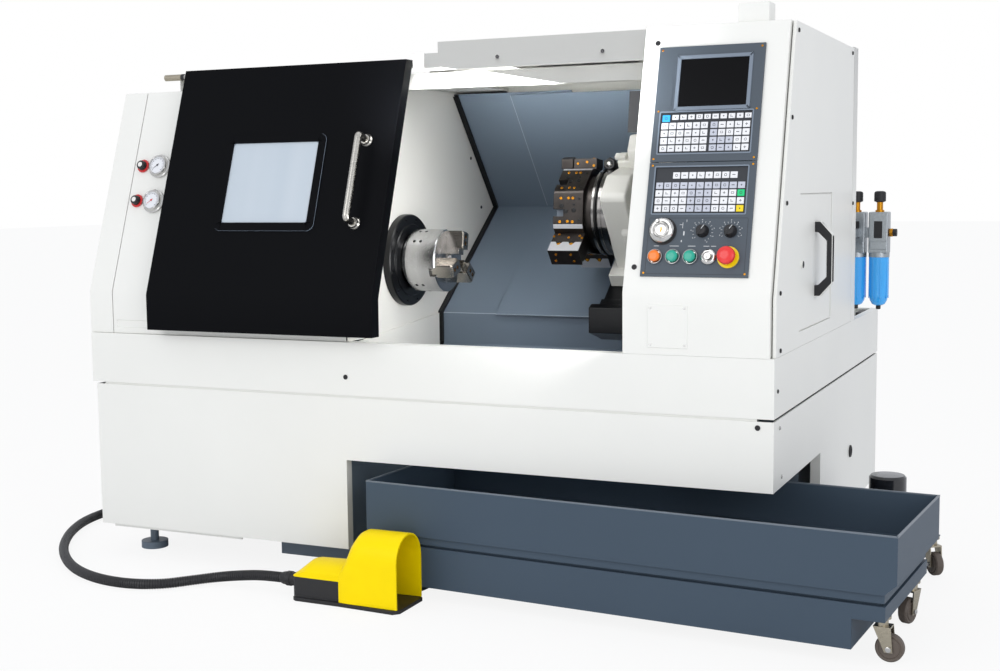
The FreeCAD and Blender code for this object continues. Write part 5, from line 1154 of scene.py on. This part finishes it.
def index_ring():
    """Polished index ring, the coolant nozzle above it and the housing's plugs."""
    rim = turned([(1257.3, 100), (1257.3, 116.4), (1258.6, 117.6), (1264.4, 117.6), (1265.6, 116.4), (1265.6, 108)],
                 96)
    fit(rim, "ring_rim", "ring", "turret_housing", TURRET @ ALONG_X)
    band = turned([(1275, 108), (1275, 116.8), (1276.4, 117.8), (1284, 117.8), (1285, 116.6), (1287, 116.6),
                   (1288, 117.8), (1299, 117.8), (1301.6, 116.4), (1301.6, 108)], 96)
    fit(band, "ring_band", "ring", "turret_housing", TURRET @ ALONG_X)
    nozzle_at = shift(1277, 368, 1087) @ spun("X", 82)
    body = bevelled(turned([(-26, 15), (-22, 19), (6, 19), (8, 17)], 6), 1.2)
    fit(body, "coolant_nozzle", "black_metal", "turret_housing", nozzle_at)
    lip = turned([(7.6, 15.4), (10, 15.4), (11, 14), (11, 10), (8, 9.6)], 36)
    fit(lip, "nozzle_lip", "black_metal", "turret_housing", nozzle_at)
    eye = turned([(7, 9.4), (11, 8.4), (13.4, 5.6), (14.2, 2.2)], 28)
    fit(eye, "nozzle_ball", "chrome", "turret_housing", nozzle_at)
    arm = slab((1296, 60, 128), (1326, 78, 140), 2)
    fit(arm, "nozzle_arm", "cast", "turret_housing", TURRET)
    bolt = facing(7.4, 3.4, 20)
    pin = facing(3.2, 1.6, 14)
    for piece in (bolt, pin):
        piece.data.transform(spun("Y", -90))
    plugs = repeated(bolt, [shift(1302, -69, 87), shift(1302, -96, 4), shift(1302, 60, 84)])
    pins = repeated(pin, [shift(1302, -92, 116), shift(1302, -60, 118), shift(1302, -104, -30)])
    fit(joined([plugs, pins]), "housing_plugs", "black_metal", "turret_housing", TURRET)


# ============================ air unit ============================

def air_unit():
    """Filter and oiler: silver heads with dark sight windows, blue bowls in guards, knobs."""
    y, middle = 1010, 884
    heads, guards, knobs, brass, windows = [], [], [], [], []
    for x in (1888, 1822):
        at = shift(x, y, 0)
        heads.append(moved(slab((-28, -28, 823), (28, 28, 945), 4, 3), at))
        heads.append(moved(slab((-24, -30, 835), (24, 30, 858), 2, 2), at))
        heads.append(moved(turned([(812, 30), (826, 30), (828, 27)], 40), at))
        windows.append(moved(slab((-12, -29.8, 868), (12, -27, 918), 2.5, 3), at))
        brass.append(moved(turned([(944, 13), (950, 13), (951, 9), (976, 9), (977, 12)], 24), at))
        knobs.append(moved(turned([(973, 10), (976, 17), (1000, 17), (1004, 15), (1006, 9)], 24), at))
        bowl = turned([(669, 12), (673, 19), (684, 25), (700, 27.5), (812, 28.6), (823, 28.6)], 40)
        guards.append(moved(bowl, at))
        rib = slab((-2.6, 27.2, 690), (2.6, 29.2, 818), 0.8)
        guards.append(moved(repeated(rib, [spun("Z", 45 * k + 20) for k in range(8)]), at))
        knobs.append(moved(turned([(657, 5), (659, 7), (668, 7), (670, 10)], 18), at))
    heads.append(slab((1842, 995, middle - 15), (1868, 1025, middle + 15), 2))
    heads.append(slab((1802, 888, middle - 13), (1836, 986, middle + 13), 2))
    heads.append(slab((1779, 885.5, middle - 40), (1838, 890, middle + 40), 1))
    fit(joined(heads), "air_heads", "silver", "air_unit", instead=True)
    fit(joined(windows), "air_windows", "black", "air_unit")
    fit(joined(brass), "air_stems", "brass", "air_unit")
    fit(joined(knobs), "air_knobs", "black", "air_unit")
    fit(joined(guards), "air_bowls", "bowl", "air_unit")
    elbow = rod_between((1914, y, middle), (1938, y, middle), 11)
    fit(elbow, "air_outlet", "black", "air_unit")
    nut = moved(turned([(0, 13.5), (8, 13.5), (9, 12)], 6), shift(1918, 1010, 884) @ spun("Y", 90))
    fit(nut, "air_nut", "brass", "air_unit")


# ============================ tank ============================

def chip_tray():
    """Folded chip tray: straight front, tucked right end, open top with a turned rim, recessed foot."""
    outside = [(0, 162), (0, 292), (444, 292), (444, 187), (418, 162)]
    shell = moved(prism(outside, -1330, 0), ALONG_X)
    shell = cut_by(shell, across([(2, 189), (2, 158), (-29, 158), (-27, 162), (0, 187)], -2, 446))
    shell = cut_by(shell, slab((-1326, 4, 187), (-4, 440, 300)))
    shell = cut_by(shell, slab((-1326, 4, 166), (-31, 416, 190)))
    bevelled(shell, 1.0, 2, 25)
    foot = slab((-1312, 7, 142), (-27, 430, 163), 0.8)
    fit(joined([shell, foot]), "tray_folded", "tank", "chip_tray", TANK, instead=True)
    rim = rounded_plate(-1330.6, -0.6, 0.6, 444.6, 1.2, 288.6, 3.6, hole=4.8, segments=2)
    fit(bevelled(rim, 0.9, 2), "tray_rim", "rim", "chip_tray", TANK)


def coolant_tank():
    """Welded tank: neck under the tray, raised bottom over the casters, pump wing behind."""
    pieces = [slab((-1316, 6, 33), (-96, 438, 135.5), 1.6), slab((-98, 6, 101), (-25, 438, 135.5), 1.6),
              slab((-1300, 18, 134), (-36, 424, 143), 0.6), slab((-260, 430, 101), (-82, 838, 158), 1.6),
              slab((-108, 788, 98.4), (-68, 830, 101.4), 0.6)]
    for y in (70, 334):
        roller = across([(-1260, 34), (-1242, 6), (-1230, 0.3), (-1212, 0.3), (-1200, 6), (-1182, 34)], y, y + 40)
        pieces.append(bevelled(roller, 1.2))
    fit(joined(pieces), "tank_welded", "tank", "coolant_tank", TANK, instead=True)


# ============================ pedal ============================

def arch(half, foot, spring, crown, steps=14):
    """Upright legs under one arc, as (y, z) from the left foot to the right one."""
    rise = crown - spring
    radius = (half ** 2 + rise ** 2) / (2 * rise)
    reach = math.asin(min(1.0, half / radius))
    middle = crown - radius
    arc = [(radius * math.sin(a), middle + radius * math.cos(a))
           for a in (reach * (2 * k / steps - 1) for k in range(steps + 1))]
    legs = [foot + (spring - foot) * k / 3 for k in range(3)]
    return [(-half, z) for z in legs] + arc + [(half, z) for z in reversed(legs)]


def skin_through(sections):
    """Thin skin through alike outlines at several x."""
    skin = bmesh.new()
    rows = [[skin.verts.new((x, y, z)) for y, z in outline] for x, outline in sections]
    for one, two in zip(rows, rows[1:]):
        for k in range(len(one) - 1):
            skin.faces.new((one[k], two[k], two[k + 1], one[k + 1]))
    mesh = bpy.data.meshes.new("skin")
    skin.to_mesh(mesh)
    skin.free()
    thing = placed("skin", mesh)
    return thing


def pedal_hood():
    """Moulded hood: low lid over the switch box that rises into a round-topped tunnel."""
    rise = [(136, 60, 78, 101), (148, 62, 84, 124), (164, 63.5, 104, 162), (177, 64, 117, 179), (190, 64, 122, 185.5),
            (210, 64.6, 122, 186), (250, 65.8, 121, 186), (302, 67, 120, 186)]
    tunnel = skin_through([(x, arch(half, 10.3, spring, crown)) for x, half, spring, crown in rise])
    lid = skin_through([(x, arch(half, 62.3, spring, crown)) for x, half, spring, crown in
                        ((0.6, 50, 63.4, 67), (2.5, 54.5, 65, 70.5), (9, 58, 67, 76), (34, 59.2, 76, 97),
                         (44, 59.4, 77, 99), (138, 60, 78, 102))])
    for thing in (tunnel, lid):
        open_mesh(thing)
        bpy.ops.mesh.normals_make_consistent(inside=False)
        close_mesh()
        modified(thing, "SOLIDIFY", thickness=4.5, offset=-1)
    fit(bevelled(joined([tunnel, lid]), 1.1, 2, 50), "hood_shell", "yellow", "pedal_hood", PEDAL, smooth=42,
        instead=True)
    nose = prism(arch(52, 62.3, 64, 68.4), 1.2, 5)
    fit(bevelled(moved(nose, ALONG_X), 1.0, 2, 40), "hood_nose", "yellow", "pedal_hood", PEDAL)


def pedal_base():
    """Base plate and switch box of the pedal."""
    plate = prism([(0, -54), (10, -62), (137, -64), (294, -74), (308, -59), (308, 59), (294, 74), (137, 64),
                   (10, 62), (0, 54)], 0, 10)
    housing = prism([(0, -50), (8, -58), (136, -58), (136, 58), (8, 58), (0, 50)], 9, 62)
    fit(joined([bevelled(plate, 1.6), bevelled(housing, 1.6)]), "pedal_floor", "black", "pedal_base", PEDAL,
        instead=True)


def pedal_treadle():
    """Treadle plate with its ribbed tread."""
    side = [(149, 34), (149, 44), (232, 54), (241, 50), (239, 46), (177, 36)]
    plate = bevelled(across(side, -46, 46), 1.2)
    lean = Matrix.Rotation(-math.atan2(10, 83), 4, "Y")
    rib = slab((-1.6, -40, -1), (1.6, 40, 1.8), 0.7)
    ribs = repeated(rib, [shift(160 + 10 * k, 0, 45.3 + 1.205 * k) @ lean for k in range(7)])
    fit(joined([plate, ribs]), "treadle_plate", "black", "pedal_treadle", PEDAL, instead=True)


# ============================ small pieces ============================

def lock():
    """Quarter-turn lock of the side access door."""
    barrel = turned([(-2, 8.6), (3.4, 8.6), (4.2, 7.6), (4.2, 3.2), (2.6, 3.0)], 24)
    fit(barrel, "door_lock", "black_metal", "access_door", SIDE @ shift(161, 834, 0))


def bridge_handle():
    """Black moulded bridge handle of the side access door."""
    outline = [(-4.5, 745), (12, 745), (42, 779), (42, 901), (12, 935), (-4.5, 935), (-4.5, 907), (6, 907),
               (27, 886), (27, 794), (6, 773), (-4.5, 773)]
    grip = prism(outline, -12.5, 12.5)
    grip = bevelled(grip, 3.0, 3)
    stand = Matrix(((1, 0, 0, 1.840), (0, 0, -1, 0.331), (0, 1, 0, 0), (0, 0, 0, 1)))
    fit(grip, "access_handle", "black", "feed_dial", stand, body="side_door")


def deck_box():
    """Small black junction box on the rear deck."""
    fit(slab((1795, 1163, 604), (1832, 1275, 632), 3), "deck_box", "black", "feed_dial", body="machine")


def caster_details():
    """Dark wheel centres and axle nuts of the casters."""
    for index in (1, 2, 3):
        low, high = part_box("caster_wheel_%d" % index)
        middle = (low + high) / 2
        joint = next(j for j in frame["joints"] if j["name"] == "caster_%d_roll" % index)
        axle = Vector(joint["axis"]).to_track_quat("Z", "Y").to_matrix().to_4x4()
        pose = Matrix.Translation(middle) @ axle
        hub = turned([(-11.4, 8), (-11.4, 20), (-9, 21.5), (9, 21.5), (11.4, 20), (11.4, 8)], 32)
        fit(hub, "caster_hub_%d" % index, "black", "caster_wheel_%d" % index, pose)
        nuts = joined([turned([(17, 6.4), (21.4, 6.4), (22, 5.4), (22.2, 3)], 12),
                       turned([(-22.2, 3), (-22, 5.4), (-21.4, 6.4), (-17, 6.4)], 12)])
        fit(nuts, "caster_nuts_%d" % index, "chrome", "caster_fork_%d" % index, pose)


# ============================ stage and light ============================

def stage():
    bpy.ops.mesh.primitive_plane_add(size=60, location=(1, 8, -0.0005))
    floor = bpy.context.object
    floor.name = "floor"
    finish = Finish("floor_paper", Roughness=0.9)
    finish.shader.inputs["Base Color"].default_value = tone(238, 238, 238)
    tree = finish.tree
    glow = tree.nodes.new("ShaderNodeEmission")
    glow.inputs["Color"].default_value = (1, 1, 1, 1)
    path = tree.nodes.new("ShaderNodeLightPath")
    share = tree.nodes.new("ShaderNodeMath")
    share.operation = "MULTIPLY"
    share.inputs[1].default_value = 0.88
    blend = tree.nodes.new("ShaderNodeMixShader")
    tree.links.new(path.outputs["Is Camera Ray"], share.inputs[0])
    tree.links.new(share.outputs[0], blend.inputs[0])
    tree.links.new(finish.shader.outputs[0], blend.inputs[1])
    tree.links.new(glow.outputs[0], blend.inputs[2])
    tree.links.new(blend.outputs[0], tree.nodes["Material Output"].inputs["Surface"])
    floor.data.materials.append(finish.material)


def soft_box(name, place, aim, width, height, power, spread=180):
    """Rectangular soft light that looks at a point."""
    data = bpy.data.lights.new(name, "AREA")
    data.shape = "RECTANGLE"
    data.size = width
    data.size_y = height
    data.energy = power
    data.spread = math.radians(spread)
    thing = placed(name, data)
    thing.location = place
    thing.rotation_euler = (Vector(aim) - Vector(place)).to_track_quat("-Z", "Y").to_euler()


def light():
    world = bpy.data.worlds.new("studio")
    bpy.context.scene.world = world
    world.use_nodes = True
    tree = world.node_tree
    sky = tree.nodes["Background"]
    sky.inputs["Color"].default_value = (0.93, 0.95, 1.0, 1)
    sky.inputs["Strength"].default_value = 0.83
    seen = tree.nodes.new("ShaderNodeBackground")
    seen.inputs["Color"].default_value = (1, 1, 1, 1)
    seen.inputs["Strength"].default_value = 1.0
    path = tree.nodes.new("ShaderNodeLightPath")
    blend = tree.nodes.new("ShaderNodeMixShader")
    tree.links.new(path.outputs["Is Camera Ray"], blend.inputs[0])
    tree.links.new(sky.outputs[0], blend.inputs[1])
    tree.links.new(seen.outputs[0], blend.inputs[2])
    tree.links.new(blend.outputs[0], tree.nodes["World Output"].inputs["Surface"])
    soft_box("key_light", (-0.6, -4.6, 2.9), (0.9, 0, 0.7), 3.2, 2.4, 50)
    soft_box("fill_light", (4.6, -2.8, 1.8), (1.2, 0, 0.7), 2.4, 2.4, 32)
    soft_box("top_light", (1.0, 0.2, 4.4), (1.0, 0.2, 0.5), 3.6, 2.6, 12)
    soft_box("low_light", (0.9, -3.2, 0.4), (1.1, 0, 0.3), 2.4, 0.5, 4)
    soft_box("lintel_light", (1.15, -0.3, 1.12), (1.15, 0.08, 1.31), 0.7, 0.08, 2.2, 60)
    soft_box("work_light", (1.04, 0.05, 1.29), (0.95, 0.45, 0.80), 0.4, 0.16, 1.5, 150)
    soft_box("wall_light", (1.46, -0.08, 0.80), (0.73, 0.15, 0.73), 0.3, 0.3, 1.2, 80)
    bpy.context.scene.view_settings.view_transform = "Standard"


# ============================ make everything ============================

for make in (conduit, conduit_glands, plain_nodes, folded_pieces, casing_screws, grommet, panel_screws, keypads,
             display, dials, handwheel, push_buttons, door_window, door_handle, ledge_end, rail_end, gauges,
             chuck_details, turret_disc, tool_holders, turret_housing, cross_cover, turret_details,
             holder_details, index_ring, air_unit, chip_tray, coolant_tank, pedal_base, pedal_hood,
             pedal_treadle, lock, bridge_handle, deck_box, caster_details, stage, light):
    make()
